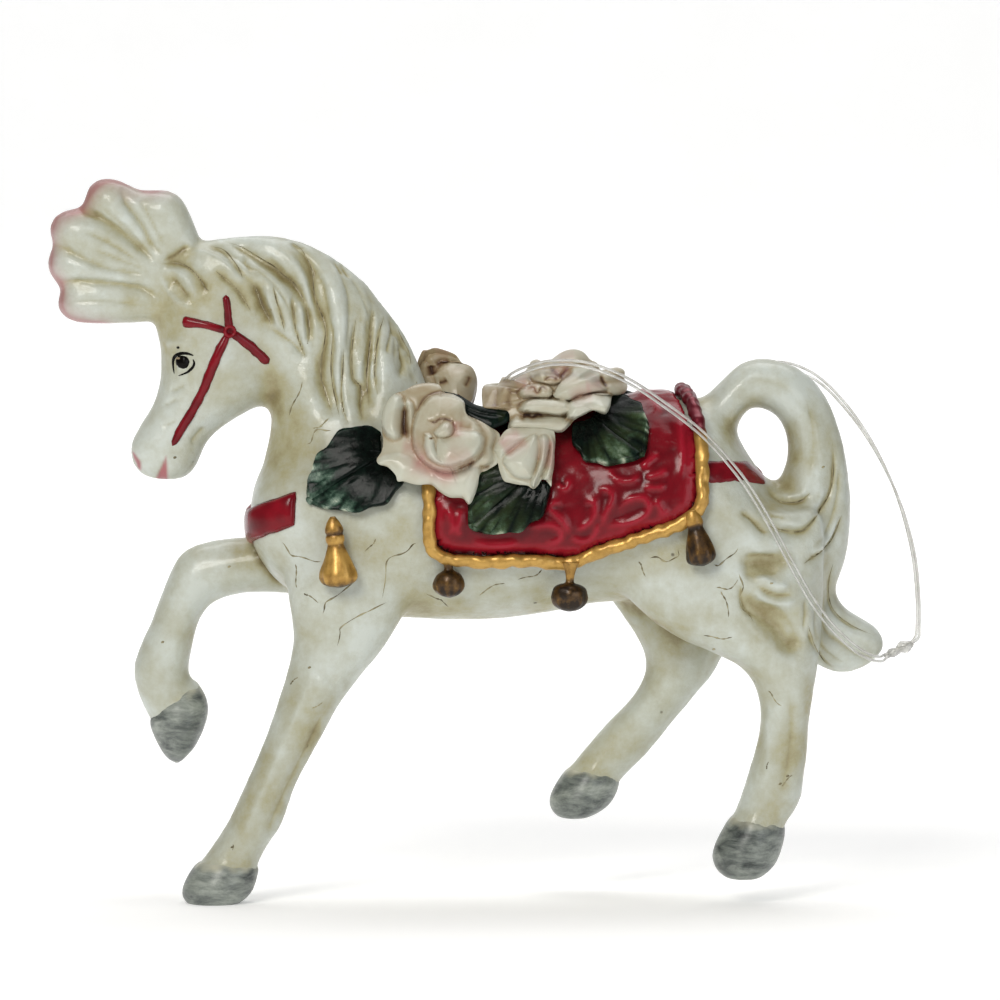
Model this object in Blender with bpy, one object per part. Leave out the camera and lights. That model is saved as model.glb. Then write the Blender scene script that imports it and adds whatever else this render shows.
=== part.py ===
"""Hanging ornament: a painted cast-resin carousel horse with a rose saddle and a nylon hanging loop.

The horse faces -X and its near (left) side faces -Y. Heights are first measured from the lowest hoof, on
the bench. The assembly empty then lowers everything so that the world origin is the mouth of the thread
hole in the horse's back, which is what the ornament hangs by.
"""

import itertools
import math

import bmesh
import bpy
import numpy as np
from mathutils import Vector
from mathutils.bvhtree import BVHTree

MM = 0.001

# Driving dimensions of the horse
BARREL_HALF_WIDTH = 11.4 * MM
NECK_HALF_WIDTH = 8.2 * MM
HEAD_HALF_WIDTH = 5.0 * MM
FORELEG_HALF_WIDTH = 4.2 * MM
HINDLEG_HALF_WIDTH = 4.8 * MM
TAIL_HALF_WIDTH = 4.6 * MM
HOOF_HALF_WIDTH = 3.9 * MM
FORELEG_SPREAD = 6.6 * MM  # from the middle plane to a foreleg's middle
HINDLEG_SPREAD = 6.4 * MM
RAISED_LEG_SPREAD = 5.4 * MM
PLUME_HALF_WIDTH = 3.2 * MM
GROOVE_DEPTH = 1.1 * MM  # of the grooves between the locks of the mane and tail
GROOVE_HALF_WIDTH = 1.15 * MM
BARREL_AXIS_HEIGHT = 47.0 * MM  # the line that the trunk and the saddle are set around

# Driving dimensions of what is glued or laid on the horse
GLUE_GAP = 0.25 * MM
BLANKET_THICKNESS = 0.7 * MM
BRAID_RADIUS = 0.8 * MM
LEAF_THICKNESS = 0.9 * MM
STRAP_THICKNESS = 0.5 * MM
BRIDLE_RADIUS = 0.6 * MM
BRIDLE_ROSETTE_RADIUS = 1.1 * MM
BREAST_STRAP_WIDTH = 4.4 * MM
CRUPPER_WIDTH = 2.2 * MM
TASSEL_RADIUS = 1.8 * MM
TASSEL_LENGTH = 4.3 * MM
SHOULDER_TASSEL_LENGTH = 7.6 * MM

# Driving dimensions of the hanging loop
THREAD_DIAMETER = 0.32 * MM
THREAD_HOLE_RADIUS = 0.7 * MM
THREAD_HOLE_DEPTH = 5.0 * MM
KNOT_RADIUS = 0.75 * MM
KNOT_LENGTH = 3.0 * MM

# How finely the solids are faceted, and how far round a point a laid piece looks for what lies under it
LOFT_SIDES = 20
LOFT_RINGS_PER_STATION = 3
HOOF_SIDES = 14
HOOF_RINGS = 6
BODY_VOXEL = 0.9 * MM
BODY_KEPT_SHARE = 0.18
GROOVE_STEPS = 24  # points read along one groove
PLUME_VOXEL = 0.6 * MM
PLUME_KEPT_SHARE = 0.10
LEG_KEPT_SHARE = 0.4
BLANKET_COLUMNS = 11
BLANKET_ROWS = 8
LEAF_ROWS = 7
LEAF_COLUMNS = 5
ROSE_SEGMENTS = 16
TASSEL_SEGMENTS = 8
BREAST_STRAP_COLUMNS = 23
BREAST_STRAP_ROWS = 5
CRUPPER_COLUMNS = 7
BRAID_SEGMENTS = 56
STRAND_SEGMENTS = 22
BIGHT_SEGMENTS = 36
RAY_REACH = 60.0 * MM
ROSE_SPREAD = 1.2 * MM
DRAPE_SPREAD = 0.8 * MM

# Side-view stations, in millimetres. Each row is one cross-section: two outline points (x, z, x, z) and
# the section's share of its part's half width. Heights of the trunk, of the raised foreleg with its hoof
# and of all that is laid on the trunk are measured from the barrel's axis, the others from the bench.
TRUNK = (
    (-29.5, -3.0, -29.4, -0.4, 0.30),
    (-28.6, -5.8, -28.6, 3.0, 0.56),
    (-25.6, -9.8, -25.6, 7.0, 0.76),
    (-19.0, -12.6, -19.0, 9.6, 0.92),
    (-11.0, -13.5, -11.0, 10.4, 0.98),
    (-2.0, -13.8, -2.0, 10.2, 1.00),
    (6.0, -12.9, 6.0, 10.4, 1.00),
    (13.0, -11.6, 13.0, 11.6, 0.99),
    (19.0, -12.0, 19.0, 12.8, 1.00),
    (24.5, -13.8, 24.5, 12.4, 0.99),
    (28.3, -15.2, 28.3, 8.6, 0.95),
    (31.4, -16.6, 31.4, 3.6, 0.88),
    (35.0, -17.0, 35.0, 1.0, 0.74),
    (38.4, -15.0, 38.6, -2.4, 0.50),
    (40.0, -11.4, 40.0, -6.0, 0.22),
)
NECK = (
    (-28.8, 43.0, -4.0, 54.0, 1.08),
    (-28.6, 48.4, -8.2, 60.8, 0.94),
    (-27.6, 52.8, -10.2, 66.2, 0.80),
    (-26.9, 56.6, -13.8, 71.4, 0.70),
    (-26.9, 60.2, -18.2, 75.8, 0.64),
    (-29.0, 63.6, -23.4, 78.6, 0.60),
    (-32.4, 66.0, -28.8, 79.2, 0.58),
    (-36.0, 68.0, -34.2, 78.6, 0.52),
    (-38.8, 70.4, -38.0, 77.6, 0.42),
)
HEAD = (
    (-39.0, 75.6, -28.0, 71.0, 0.84),
    (-40.9, 70.0, -26.4, 64.4, 0.98),
    (-40.1, 66.0, -26.4, 60.4, 1.00),
    (-39.9, 63.4, -29.6, 58.2, 0.92),
    (-40.4, 60.4, -32.8, 56.3, 0.78),
    (-41.7, 57.6, -34.6, 54.6, 0.70),
    (-43.6, 55.0, -35.3, 52.9, 0.74),
    (-43.9, 52.4, -36.0, 51.1, 0.70),
    (-42.4, 50.4, -37.6, 49.8, 0.50),
)
NEAR_FORELEG = (
    (-25.5, 44.0, -9.0, 41.0, 0.86),
    (-24.8, 35.8, -11.4, 33.6, 1.00),
    (-24.2, 30.4, -14.0, 29.6, 0.94),
    (-26.0, 24.0, -18.5, 24.2, 0.84),
    (-28.0, 18.4, -21.4, 18.6, 0.76),
    (-30.0, 13.7, -24.0, 14.0, 0.70),
    (-32.3, 9.2, -25.5, 9.2, 0.72),
    (-33.8, 6.8, -27.4, 6.8, 0.76),
    (-35.4, 4.6, -28.6, 4.4, 0.78),
    (-35.9, 3.4, -28.8, 3.2, 0.76),
)
NEAR_HINDLEG = (
    (13.0, 45.0, 39.0, 47.0, 0.80),
    (15.0, 37.0, 39.0, 38.0, 1.00),
    (21.0, 31.8, 38.6, 31.6, 0.98),
    (28.4, 28.6, 38.1, 28.0, 0.86),
    (31.0, 25.2, 37.6, 25.0, 0.76),
    (31.4, 22.0, 37.1, 22.0, 0.68),
    (30.7, 18.0, 36.9, 18.0, 0.64),
    (29.7, 15.0, 36.6, 15.0, 0.63),
    (28.8, 12.2, 36.1, 11.8, 0.65),
    (28.0, 10.2, 34.4, 9.6, 0.66),
    (27.4, 8.8, 33.9, 8.4, 0.64),
)
OFF_HINDLEG = (
    (12.0, 43.0, 34.0, 42.0, 0.80),
    (12.8, 36.6, 31.0, 34.0, 0.98),
    (17.0, 30.4, 27.4, 29.2, 0.90),
    (18.0, 26.8, 26.1, 26.3, 0.80),
    (16.6, 23.6, 23.6, 23.4, 0.72),
    (13.6, 20.6, 20.9, 20.2, 0.66),
    (11.0, 17.8, 18.3, 16.8, 0.63),
    (9.2, 15.4, 15.8, 14.5, 0.65),
    (8.3, 14.2, 14.6, 13.2, 0.66),
    (7.7, 13.2, 14.2, 12.4, 0.64),
)
RAISED_FORELEG = (
    (-24.0, -4.4, -23.0, -11.6, 0.90),
    (-29.0, -4.4, -28.2, -11.0, 0.88),
    (-33.4, -4.7, -32.0, -11.2, 0.84),
    (-37.4, -6.0, -34.6, -12.5, 0.81),
    (-39.5, -9.4, -36.0, -14.8, 0.79),
    (-41.1, -14.0, -36.7, -17.4, 0.76),
    (-43.2, -18.6, -37.1, -19.6, 0.76),
    (-43.4, -21.6, -37.0, -21.2, 0.76),
    (-42.2, -25.0, -36.4, -21.8, 0.76),
    (-41.2, -27.2, -35.8, -23.0, 0.74),
)
TAIL = (
    (23.6, 58.4, 27.0, 52.0, 0.86),
    (26.8, 61.8, 28.6, 56.4, 0.80),
    (29.2, 64.0, 29.6, 58.3, 0.76),
    (32.0, 64.6, 31.4, 58.6, 0.76),
    (35.6, 63.5, 33.3, 57.8, 0.80),
    (38.7, 60.8, 34.4, 55.8, 0.86),
    (41.0, 55.6, 34.7, 53.2, 0.92),
    (42.1, 49.4, 33.8, 49.2, 1.00),
    (42.2, 44.0, 33.0, 44.0, 1.06),
    (41.3, 39.6, 33.2, 39.0, 1.06),
    (40.2, 37.0, 34.2, 33.6, 0.98),
    (41.2, 34.8, 37.0, 28.8, 0.90),
    (43.8, 33.3, 40.4, 26.8, 0.80),
    (45.6, 32.0, 43.6, 27.3, 0.64),
    (46.4, 30.4, 45.6, 28.8, 0.34),
)
# Grooves between the locks of the mane and tail, and the two hollows beside the tail, as (x, z).
LOCK_GROOVES = (
    ((-32.0, 78.4), (-27.5, 76.5), (-24.4, 73.8), (-22.8, 70.6), (-22.3, 66.0)),
    ((-24.4, 78.0), (-22.0, 74.6), (-20.9, 70.2), (-20.8, 63.6), (-19.8, 59.2)),
    ((-29.2, 73.7), (-27.9, 71.0), (-26.8, 68.3), (-24.5, 66.5), (-22.6, 64.2)),
    ((-20.4, 77.0), (-17.6, 73.6), (-17.0, 69.0), (-17.0, 62.0), (-16.1, 58.6)),
    ((-14.2, 71.0), (-14.7, 68.6), (-15.6, 64.0), (-15.3, 58.6)),
    ((-12.7, 69.7), (-11.5, 66.8), (-11.1, 63.4)),
    ((31.9, 45.4), (35.4, 44.3), (38.1, 46.2), (39.7, 50.4), (39.5, 56.4), (37.0, 61.2)),
    ((38.9, 40.2), (38.8, 34.4), (40.6, 30.6), (44.2, 28.7)),
    ((30.3, 36.0), (31.6, 34.4), (33.2, 33.0), (34.6, 31.0)),
    ((30.4, 40.9), (32.0, 40.5), (33.8, 41.0)),
)
# Hooves: coronet, widest ring, ground edge and sole.
HOOVES = {
    "near_fore_hoof": (
        (-35.5, 4.7, -28.6, 4.4, 0.86),
        (-37.1, 1.9, -28.9, 2.6, 1.00),
        (-37.0, 0.6, -29.8, 1.0, 0.98),
        (-36.0, 0.0, -31.4, 0.0, 0.74),
    ),
    "near_hind_hoof": (
        (28.1, 10.4, 34.0, 9.4, 0.84),
        (26.0, 6.4, 33.8, 7.2, 0.98),
        (26.2, 4.4, 32.8, 4.7, 0.98),
        (27.6, 3.3, 31.0, 3.3, 0.70),
    ),
    "off_hind_hoof": (
        (8.7, 14.8, 14.6, 13.8, 0.84),
        (6.8, 11.8, 14.1, 12.0, 0.98),
        (6.7, 10.2, 13.0, 10.4, 0.98),
        (7.6, 9.3, 10.8, 9.3, 0.70),
    ),
    "off_fore_hoof": (
        (-41.6, -26.4, -36.2, -21.8, 0.84),
        (-40.5, -28.8, -34.9, -24.3, 0.98),
        (-39.4, -30.5, -35.4, -26.8, 0.94),
        (-38.4, -31.1, -36.6, -29.2, 0.60),
    ),
}
# Plume lobes: root x, root z, tip x, tip z, half breadth of the lobe at its widest.
PLUME_LOBES = (
    (-37.6, 76.4, -41.6, 84.5, 2.7),
    (-38.0, 75.8, -48.4, 85.1, 3.2),
    (-38.4, 74.6, -53.1, 80.6, 3.2),
    (-38.6, 73.0, -53.6, 76.0, 2.9),
    (-39.0, 71.2, -52.4, 70.9, 2.6),
)
# Plume lobe profile from root to tip: share of the length, share of the breadth, share of the half width.
PLUME_PROFILE = (
    (0.0, 0.70, 0.80),
    (0.3, 0.85, 0.85),
    (0.7, 1.00, 1.00),
    (0.9, 0.80, 0.85),
    (1.0, 0.30, 0.45),
)
# Saddle blanket edges in side view, in millimetres: the lower edge from front to back, and the two ends
# of the line where the blanket crosses the top of the back.
BLANKET_LOWER_EDGE = (
    (-6.8, -4.0),
    (-1.0, -4.5),
    (5.0, -4.1),
    (8.7, -5.2),
    (12.4, -3.2),
    (17.0, -1.9),
    (21.2, -0.6),
    (23.0, 0.6),
)
BLANKET_TOP_FRONT = -7.6
BLANKET_TOP_REAR = 20.6
BLANKET_BULGE = 1.2  # how far the rear edge bows back between the top and the corner

# Bridle straps in side view, from the rosette at the temple outwards.
BRIDLE_ROSETTE = (-31.9, 67.9)
BRIDLE_STRAPS = (
    ((-31.9, 67.9), (-32.6, 65.2), (-34.9, 60.4), (-37.2, 56.6), (-38.7, 54.3)),
    ((-31.9, 67.9), (-34.2, 68.5), (-37.3, 69.1)),
    ((-31.9, 67.9), (-32.0, 70.0), (-32.2, 72.0)),
    ((-31.9, 67.9), (-30.0, 66.3), (-27.4, 64.1)),
)

# Thread routes, in millimetres on the bench, chosen by hand. The two strands run side by side.
THREAD_HOLE = (0.0, 0.0)
NEAR_STRAND = (
    (0.0, -0.45, 58.4),
    (0.3, -1.5, 59.9),
    (1.5, -4.6, 61.9),
    (3.4, -7.4, 63.2),
    (6.6, -9.6, 64.2),
    (10.6, -11.0, 64.0),
    (15.0, -11.9, 62.4),
    (19.4, -12.3, 59.6),
    (24.2, -12.6, 55.9),
    (28.3, -12.8, 51.3),
    (31.0, -12.8, 47.2),
    (33.4, -12.4, 42.8),
    (36.6, -11.0, 36.9),
    (39.4, -9.2, 33.0),
    (42.2, -6.8, 30.2),
    (44.4, -4.4, 28.8),
    (45.9, -2.2, 28.4),
    (46.6, -0.45, 28.7),
)
FAR_STRAND = (
    (0.1, 0.3, 58.45),
    (0.0, -0.8, 60.2),
    (1.2, -4.3, 62.4),
    (3.1, -7.2, 63.7),
    (6.5, -9.4, 64.7),
    (10.8, -10.8, 64.5),
    (15.3, -11.6, 62.8),
    (19.8, -12.1, 59.9),
    (24.6, -12.4, 56.2),
    (28.8, -12.7, 51.5),
    (31.5, -12.7, 47.4),
    (33.9, -12.3, 43.0),
    (37.1, -10.8, 37.2),
    (39.8, -9.0, 33.4),
    (42.5, -6.5, 30.7),
    (44.5, -4.0, 29.3),
    (45.7, -1.8, 28.9),
    (46.3, 0.1, 29.0),
)
# Out from the knot, round the end of the bight and back beside itself.
HANGING_BIGHT = (
    (49.8, -0.2, 30.9),
    (50.1, -0.25, 32.2),
    (50.1, -0.25, 36.0),
    (49.5, 0.1, 41.4),
    (47.8, 1.0, 47.8),
    (45.2, 2.4, 53.6),
    (42.0, 3.8, 58.4),
    (38.4, 4.7, 62.0),
    (34.8, 5.0, 63.6),
    (31.8, 5.0, 63.5),
    (30.6, 5.2, 62.6),
    (31.8, 5.4, 61.9),
    (34.6, 5.5, 62.5),
    (38.2, 5.2, 61.5),
    (41.9, 4.3, 57.9),
    (45.2, 2.9, 53.2),
    (48.0, 1.5, 47.5),
    (49.8, 0.6, 41.4),
    (50.4, 0.2, 36.0),
    (50.45, 0.2, 32.2),
    (50.2, 0.2, 30.8),
)
KNOT_CENTRE = (48.2, 0.0, 29.7)
KNOT_TILT = math.radians(28.0)
# Knot profile: share of the length from its middle, share of the radius.
KNOT_PROFILE = ((-0.5, 0.35), (-0.3, 0.6), (-0.1, 0.75), (0.1, 1.0), (0.35, 1.0), (0.5, 0.4))

# Leaves: position along X in mm, angle round the barrel from the top in degrees (near side negative),
# heading on the unrolled surface in degrees (0 points to the tail, 90 points down), length, half breadth.
LEAVES = {
    "near_shoulder_leaf": (-13.0, -62, 148, 11.0, 4.6),
    "near_blanket_leaf": (5.6, -80, 152, 9.6, 3.5),
    "near_rump_leaf": (10.6, -46, 24, 9.6, 4.0),
    "withers_leaf": (-4.6, -33, 22, 6.2, 1.9),
    "off_shoulder_leaf": (-13.0, 62, 148, 11.0, 4.6),
    "off_blanket_leaf": (5.6, 80, 152, 9.6, 3.5),
    "off_rump_leaf": (10.6, 40, 14, 9.0, 3.8),
}
LEAF_BASE_SHARE = 0.14  # how round the base is
LEAF_TIP_SHARE = 0.06  # breadth left at the tip
LEAF_NOTCH = 0.14  # how far the base lobes reach back past the stalk
LEAF_CROWN = 0.4  # how much thinner a leaf is at its edge than along its rib
# Roses and buds: position along X in mm, angle round the barrel, radius in mm, height in mm, petals.
ROSES = {
    "near_rose": (-6.6, -52, 7.0, 5.0, 5),
    "off_withers_rose": (-5.3, 22, 4.8, 7.4, 5),
    "saddle_rose": (8.0, -20, 7.6, 7.0, 5),
    "off_side_rose": (-4.8, 78, 5.6, 4.4, 5),
    "near_bud": (3.5, -64, 3.9, 4.4, 3),
    "off_bud": (6.6, 62, 3.9, 4.4, 3),
}
# Rose profile from the back to the heart: share of the radius, share of the height, petal depth.
ROSE_RINGS = (
    (1.00, 0.16, 0.10),
    (0.93, 0.40, 0.12),
    (0.74, 0.36, 0.06),
    (0.70, 0.66, 0.10),
    (0.50, 0.58, 0.05),
    (0.44, 0.90, 0.08),
    (0.26, 0.72, 0.03),
    (0.16, 1.00, 0.02),
)
ROSE_BACK_RINGS = (0.2, 0.45, 0.7, 0.92)  # shares of the radius
ROSE_LIP = 0.6 * MM  # least thickness of a petal over what it lies on
ROSE_TWIST = 0.9  # turn of each ring of petals against the last, in radians
ROSE_CURVE_RADIUS = 1.2 * BARREL_HALF_WIDTH  # how a rose bends down over the barrel
# Tassels: top point in side view in mm, lean towards the tail in degrees.
TASSELS = {
    "front_tassel": (-6.2, -7.1, 4),
    "middle_tassel": (8.7, -7.6, 0),
    "rear_tassel": (23.8, -2.1, 12),
}
SHOULDER_TASSEL = (-19.2, -1.4, 6)
# Tassel profile from top to bottom: share of the length, share of the radius.
TASSEL_PROFILE = (
    (0.00, 0.22),
    (0.10, 0.42),
    (0.22, 0.48),
    (0.34, 0.40),
    (0.58, 0.80),
    (0.80, 1.00),
    (0.94, 0.78),
    (1.00, 0.24),
)
# Breast strap: the height of its middle at the chest and at its two ends, and how far round it reaches.
BREAST_STRAP_AXIS_X = -20.0
BREAST_STRAP_FRONT_HEIGHT = -1.8
BREAST_STRAP_END_HEIGHT = 0.0
BREAST_STRAP_REACH = math.radians(67.0)
BREAST_STRAP_START = 14.0 * MM  # it is laid on from this far out of its axis, short of the muzzle
# Crupper: from the blanket's rear edge to under the tail, as (x, z) in side view.
CRUPPER_ROUTE = ((25.4, 4.9), (27.4, 4.6), (29.4, 4.0), (31.2, 3.0))


# Scene and materials


def clear_scene():
    for old in list(bpy.data.objects):
        bpy.data.objects.remove(old)


def paint(name, colour, roughness, metallic=0.0):
    material = bpy.data.materials.new(name)
    material.use_nodes = True
    shader = material.node_tree.nodes["Principled BSDF"]
    shader.inputs["Base Color"].default_value = (*colour, 1.0)
    shader.inputs["Roughness"].default_value = roughness
    shader.inputs["Metallic"].default_value = metallic
    return material


def bench(x, y, z):
    """A bench point in millimetres as a vector in metres."""
    return Vector((x, y, z)) * MM


def add_object(name, data, parent, material=None):
    made = bpy.data.objects.new(name, data)
    made.parent = parent
    bpy.context.scene.collection.objects.link(made)
    if material is not None:
        made.data.materials.append(material)
    return made


def mesh_from(bm, name):
    bmesh.ops.recalc_face_normals(bm, faces=bm.faces)
    if bm.calc_volume(signed=True) < 0:
        bmesh.ops.reverse_faces(bm, faces=bm.faces)
    mesh = bpy.data.meshes.new(name)
    bm.to_mesh(mesh)
    bm.free()
    mesh.shade_smooth()
    mesh.set_sharp_from_angle(angle=math.radians(40))
    return mesh


def hide(helper):
    helper.hide_render = True
    helper.display_type = "WIRE"
    return helper


# Curves and lofts


def spline(rows, count):
    """Catmull-Rom curve through rows of numbers, at count even steps."""
    rows = np.array(rows, float)
    ends = np.vstack([2 * rows[0] - rows[1], rows, 2 * rows[-1] - rows[-2]])
    points = []
    for step in np.linspace(0, len(rows) - 1, count):
        start = min(int(step), len(rows) - 2)
        share = step - start
        before, first, second, after = ends[start : start + 4]
        points.append(
            first
            + 0.5 * share * (second - before)
            + 0.5 * share**2 * (2 * before - 5 * first + 4 * second - after)
            + 0.5 * share**3 * (3 * first - before - 3 * second + after)
        )
    return np.array(points)


def full_turn(sides):
    return [2 * math.pi * i / sides for i in range(sides)]


def add_skin(bm, rings):
    """Closed skin over rings of points, each given as a list of vectors."""
    made = [[bm.verts.new(point) for point in ring] for ring in rings]
    for first, second in zip(made, made[1:]):
        for i in range(len(first)):
            bm.faces.new((first[i - 1], first[i], second[i], second[i - 1]))
    bm.faces.new(made[0])
    bm.faces.new(made[-1])


def section(row, half_width, side, sides, height=0.0):
    """One elliptical ring between the two outline points of a station."""
    low, high = bench(row[0], 0, row[1]), bench(row[2], 0, row[3])
    middle = (low + high) / 2 + Vector((0, side, height))
    arm = (high - low) / 2
    across = Vector((0, half_width * row[4], 0))
    return [middle + arm * math.cos(a) + across * math.sin(a) for a in full_turn(sides)]


def add_loft(bm, stations, half_width, side=0.0, height=0.0):
    rows = spline(stations, (len(stations) - 1) * LOFT_RINGS_PER_STATION + 1)
    add_skin(bm, [section(row, half_width, side, LOFT_SIDES, height) for row in rows])


def frozen(source):
    """A mesh copy of an object as its modifiers leave it."""
    graph = bpy.context.evaluated_depsgraph_get()
    return bpy.data.meshes.new_from_object(source.evaluated_get(graph))


def sink_grooves(casting, grooves):
    """Rounded grooves sunk into both sides of a casting along lines in side view."""
    mesh = frozen(casting)
    casting.modifiers.clear()
    casting.data = mesh
    places = np.array([vert.co for vert in mesh.vertices])
    normals = np.array([vert.normal for vert in mesh.vertices])
    line_points = np.vstack([spline(groove, GROOVE_STEPS) for groove in grooves]) * MM
    gaps = np.linalg.norm(places[:, None, ::2] - line_points, axis=2).min(axis=1)
    depths = GROOVE_DEPTH * np.exp(-((gaps / GROOVE_HALF_WIDTH) ** 2)) * np.abs(normals[:, 1])
    mesh.vertices.foreach_set("co", (places - normals * depths[:, None]).ravel())
    mesh.update()


def cast_in_one(bm, name, voxel, kept_share, parent, material, grooves=()):
    """One casting: overlapping lofts melted into one skin with soft creases."""
    casting = add_object(name, mesh_from(bm, name), parent, material)
    melt = casting.modifiers.new("melt", "REMESH")
    melt.mode = "VOXEL"
    melt.voxel_size = voxel
    melt.use_smooth_shade = True
    ease = casting.modifiers.new("ease", "SMOOTH")
    ease.factor = 0.5
    ease.iterations = 4
    if grooves:
        sink_grooves(casting, grooves)
    thin = casting.modifiers.new("thin", "DECIMATE")
    thin.ratio = kept_share
    return casting


def swollen_cutter(source, gap, parent):
    """A hidden copy of an object, grown all round by the gap."""
    cutter = hide(add_object(source.name + "_cutter", frozen(source), parent))
    grow = cutter.modifiers.new("grow", "DISPLACE")
    grow.strength = gap
    grow.mid_level = 0.0
    return cutter


def cut(target, cutter):
    boolean = target.modifiers.new("cut_" + cutter.name, "BOOLEAN")
    boolean.operation = "DIFFERENCE"
    boolean.object = cutter


# Seats on the finished castings


def tree_of(source):
    return BVHTree.FromObject(source, bpy.context.evaluated_depsgraph_get())


def outermost(trees, start, heading):
    """The first point that a ray meets, over several pieces, or None."""
    hits = [tree.ray_cast(start, heading, 2 * RAY_REACH) for tree in trees]
    hits = [hit for hit in hits if hit[0] is not None]
    return min(hits, key=lambda hit: hit[3])[0] if hits else None


def crosswise(first, second, spread):
    """Offsets to a place and to its four neighbours along two directions."""
    return [Vector(), first * spread, -first * spread, second * spread, -second * spread]


def support(trees, place, out, offsets, reach=RAY_REACH):
    """How far out of a place the highest surface around it stands, so that a facet laid there clears it."""
    points = [outermost(trees, place + offset + out * reach, -out) for offset in offsets]
    return max(((point - place).dot(out) for point in points if point is not None), default=0.0)


def outward(angle):
    """The direction away from the barrel's axis, with the angle measured from the top."""
    return Vector((0, math.sin(angle), math.cos(angle)))


def round_barrel(trees, x, angle, spread):
    """The outermost point around a place on the barrel, and the direction out of it there."""
    out = outward(angle)
    along = Vector((1, 0, 0))
    axis = Vector((x, 0, BARREL_AXIS_HEIGHT))
    reach = support(trees, axis, out, crosswise(along, out.cross(along), spread))
    return axis + out * reach, out


def on_barrel(x, z):
    """A side-view place in millimetres from the barrel's axis, as a point of the middle plane."""
    return Vector((x * MM, 0, BARREL_AXIS_HEIGHT + z * MM))


def flank_angle(trees, x, z, side):
    """The angle round the barrel of the flank's surface at a place in side view."""
    out = Vector((0, side, 0))
    point = outermost(trees, on_barrel(x, z) + out * RAY_REACH, -out)
    return math.atan2(point.y, point.z - BARREL_AXIS_HEIGHT)


def draped(name, seats, thickness, parent, material):
    """A sheet over a grid of seats, each a point and its outward direction; thickness(i, j) is added."""
    bm = bmesh.new()
    layers = []
    for lift in (0.0, 1.0):
        layers.append(
            [
                [
                    bm.verts.new(point + out * (GLUE_GAP + lift * thickness(i, j)))
                    for j, (point, out) in enumerate(row)
                ]
                for i, row in enumerate(seats)
            ]
        )
    rows, columns = len(seats), len(seats[0])
    for layer in layers:
        for i in range(rows - 1):
            for j in range(columns - 1):
                bm.faces.new((layer[i][j], layer[i + 1][j], layer[i + 1][j + 1], layer[i][j + 1]))
    rim = [(i, 0) for i in range(rows)]
    rim += [(rows - 1, j) for j in range(1, columns)]
    rim += [(i, columns - 1) for i in range(rows - 2, -1, -1)]
    rim += [(0, j) for j in range(columns - 2, 0, -1)]
    for (i, j), (k, m) in zip(rim, rim[1:] + rim[:1]):
        bm.faces.new((layers[0][i][j], layers[0][k][m], layers[1][k][m], layers[1][i][j]))
    return add_object(name, mesh_from(bm, name), parent, material)


def tube(name, points, radius, parent, material, closed=False, facets=2):
    """A round cord along points, as a curve with filled ends."""
    curve = bpy.data.curves.new(name, "CURVE")
    curve.dimensions = "3D"
    curve.bevel_depth = radius
    curve.bevel_resolution = facets
    curve.use_fill_caps = not closed
    line = curve.splines.new("POLY")
    line.points.add(len(points) - 1)
    for knot, point in zip(line.points, points):
        knot.co = (*point, 1.0)
    line.use_cyclic_u = closed
    return add_object(name, curve, parent, material)


# The castings


def make_horse_body(assembly, resin):
    bm = bmesh.new()
    add_loft(bm, TRUNK, BARREL_HALF_WIDTH, height=BARREL_AXIS_HEIGHT)
    add_loft(bm, NECK, NECK_HALF_WIDTH)
    add_loft(bm, HEAD, HEAD_HALF_WIDTH)
    add_loft(bm, NEAR_FORELEG, FORELEG_HALF_WIDTH, -FORELEG_SPREAD)
    add_loft(bm, NEAR_HINDLEG, HINDLEG_HALF_WIDTH, -HINDLEG_SPREAD)
    add_loft(bm, OFF_HINDLEG, HINDLEG_HALF_WIDTH, HINDLEG_SPREAD)
    add_loft(bm, TAIL, TAIL_HALF_WIDTH)
    return cast_in_one(bm, "horse_body", BODY_VOXEL, BODY_KEPT_SHARE, assembly, resin, LOCK_GROOVES)


def make_raised_foreleg(assembly, resin):
    bm = bmesh.new()
    add_loft(bm, RAISED_FORELEG, FORELEG_HALF_WIDTH, RAISED_LEG_SPREAD, BARREL_AXIS_HEIGHT)
    leg = add_object("raised_foreleg", mesh_from(bm, "raised_foreleg"), assembly, resin)
    thin = leg.modifiers.new("thin", "DECIMATE")
    thin.ratio = LEG_KEPT_SHARE
    return leg


def make_hooves(assembly, horn):
    places = {
        "near_fore_hoof": (-FORELEG_SPREAD, 0.0),
        "near_hind_hoof": (-HINDLEG_SPREAD, 0.0),
        "off_hind_hoof": (HINDLEG_SPREAD, 0.0),
        "off_fore_hoof": (RAISED_LEG_SPREAD, BARREL_AXIS_HEIGHT),
    }
    hooves = {}
    for name, stations in HOOVES.items():
        bm = bmesh.new()
        side, height = places[name]
        rows = spline(stations, HOOF_RINGS)
        add_skin(bm, [section(row, HOOF_HALF_WIDTH, side, HOOF_SIDES, height) for row in rows])
        hooves[name] = add_object(name, mesh_from(bm, name), assembly, horn)
    return hooves


def make_plume(assembly, resin):
    bm = bmesh.new()
    for root_x, root_z, tip_x, tip_z, breadth in PLUME_LOBES:
        root, tip = bench(root_x, 0, root_z), bench(tip_x, 0, tip_z)
        across = (tip - root).normalized().cross(Vector((0, 1, 0)))
        rings = []
        for share, broad, thick in PLUME_PROFILE:
            middle = root.lerp(tip, share)
            arm = across * breadth * MM * broad
            depth = Vector((0, PLUME_HALF_WIDTH * thick, 0))
            turn = full_turn(LOFT_SIDES)
            rings.append([middle + arm * math.cos(a) + depth * math.sin(a) for a in turn])
        add_skin(bm, rings)
    return cast_in_one(bm, "head_plume", PLUME_VOXEL, PLUME_KEPT_SHARE, assembly, resin)


# The saddle


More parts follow.
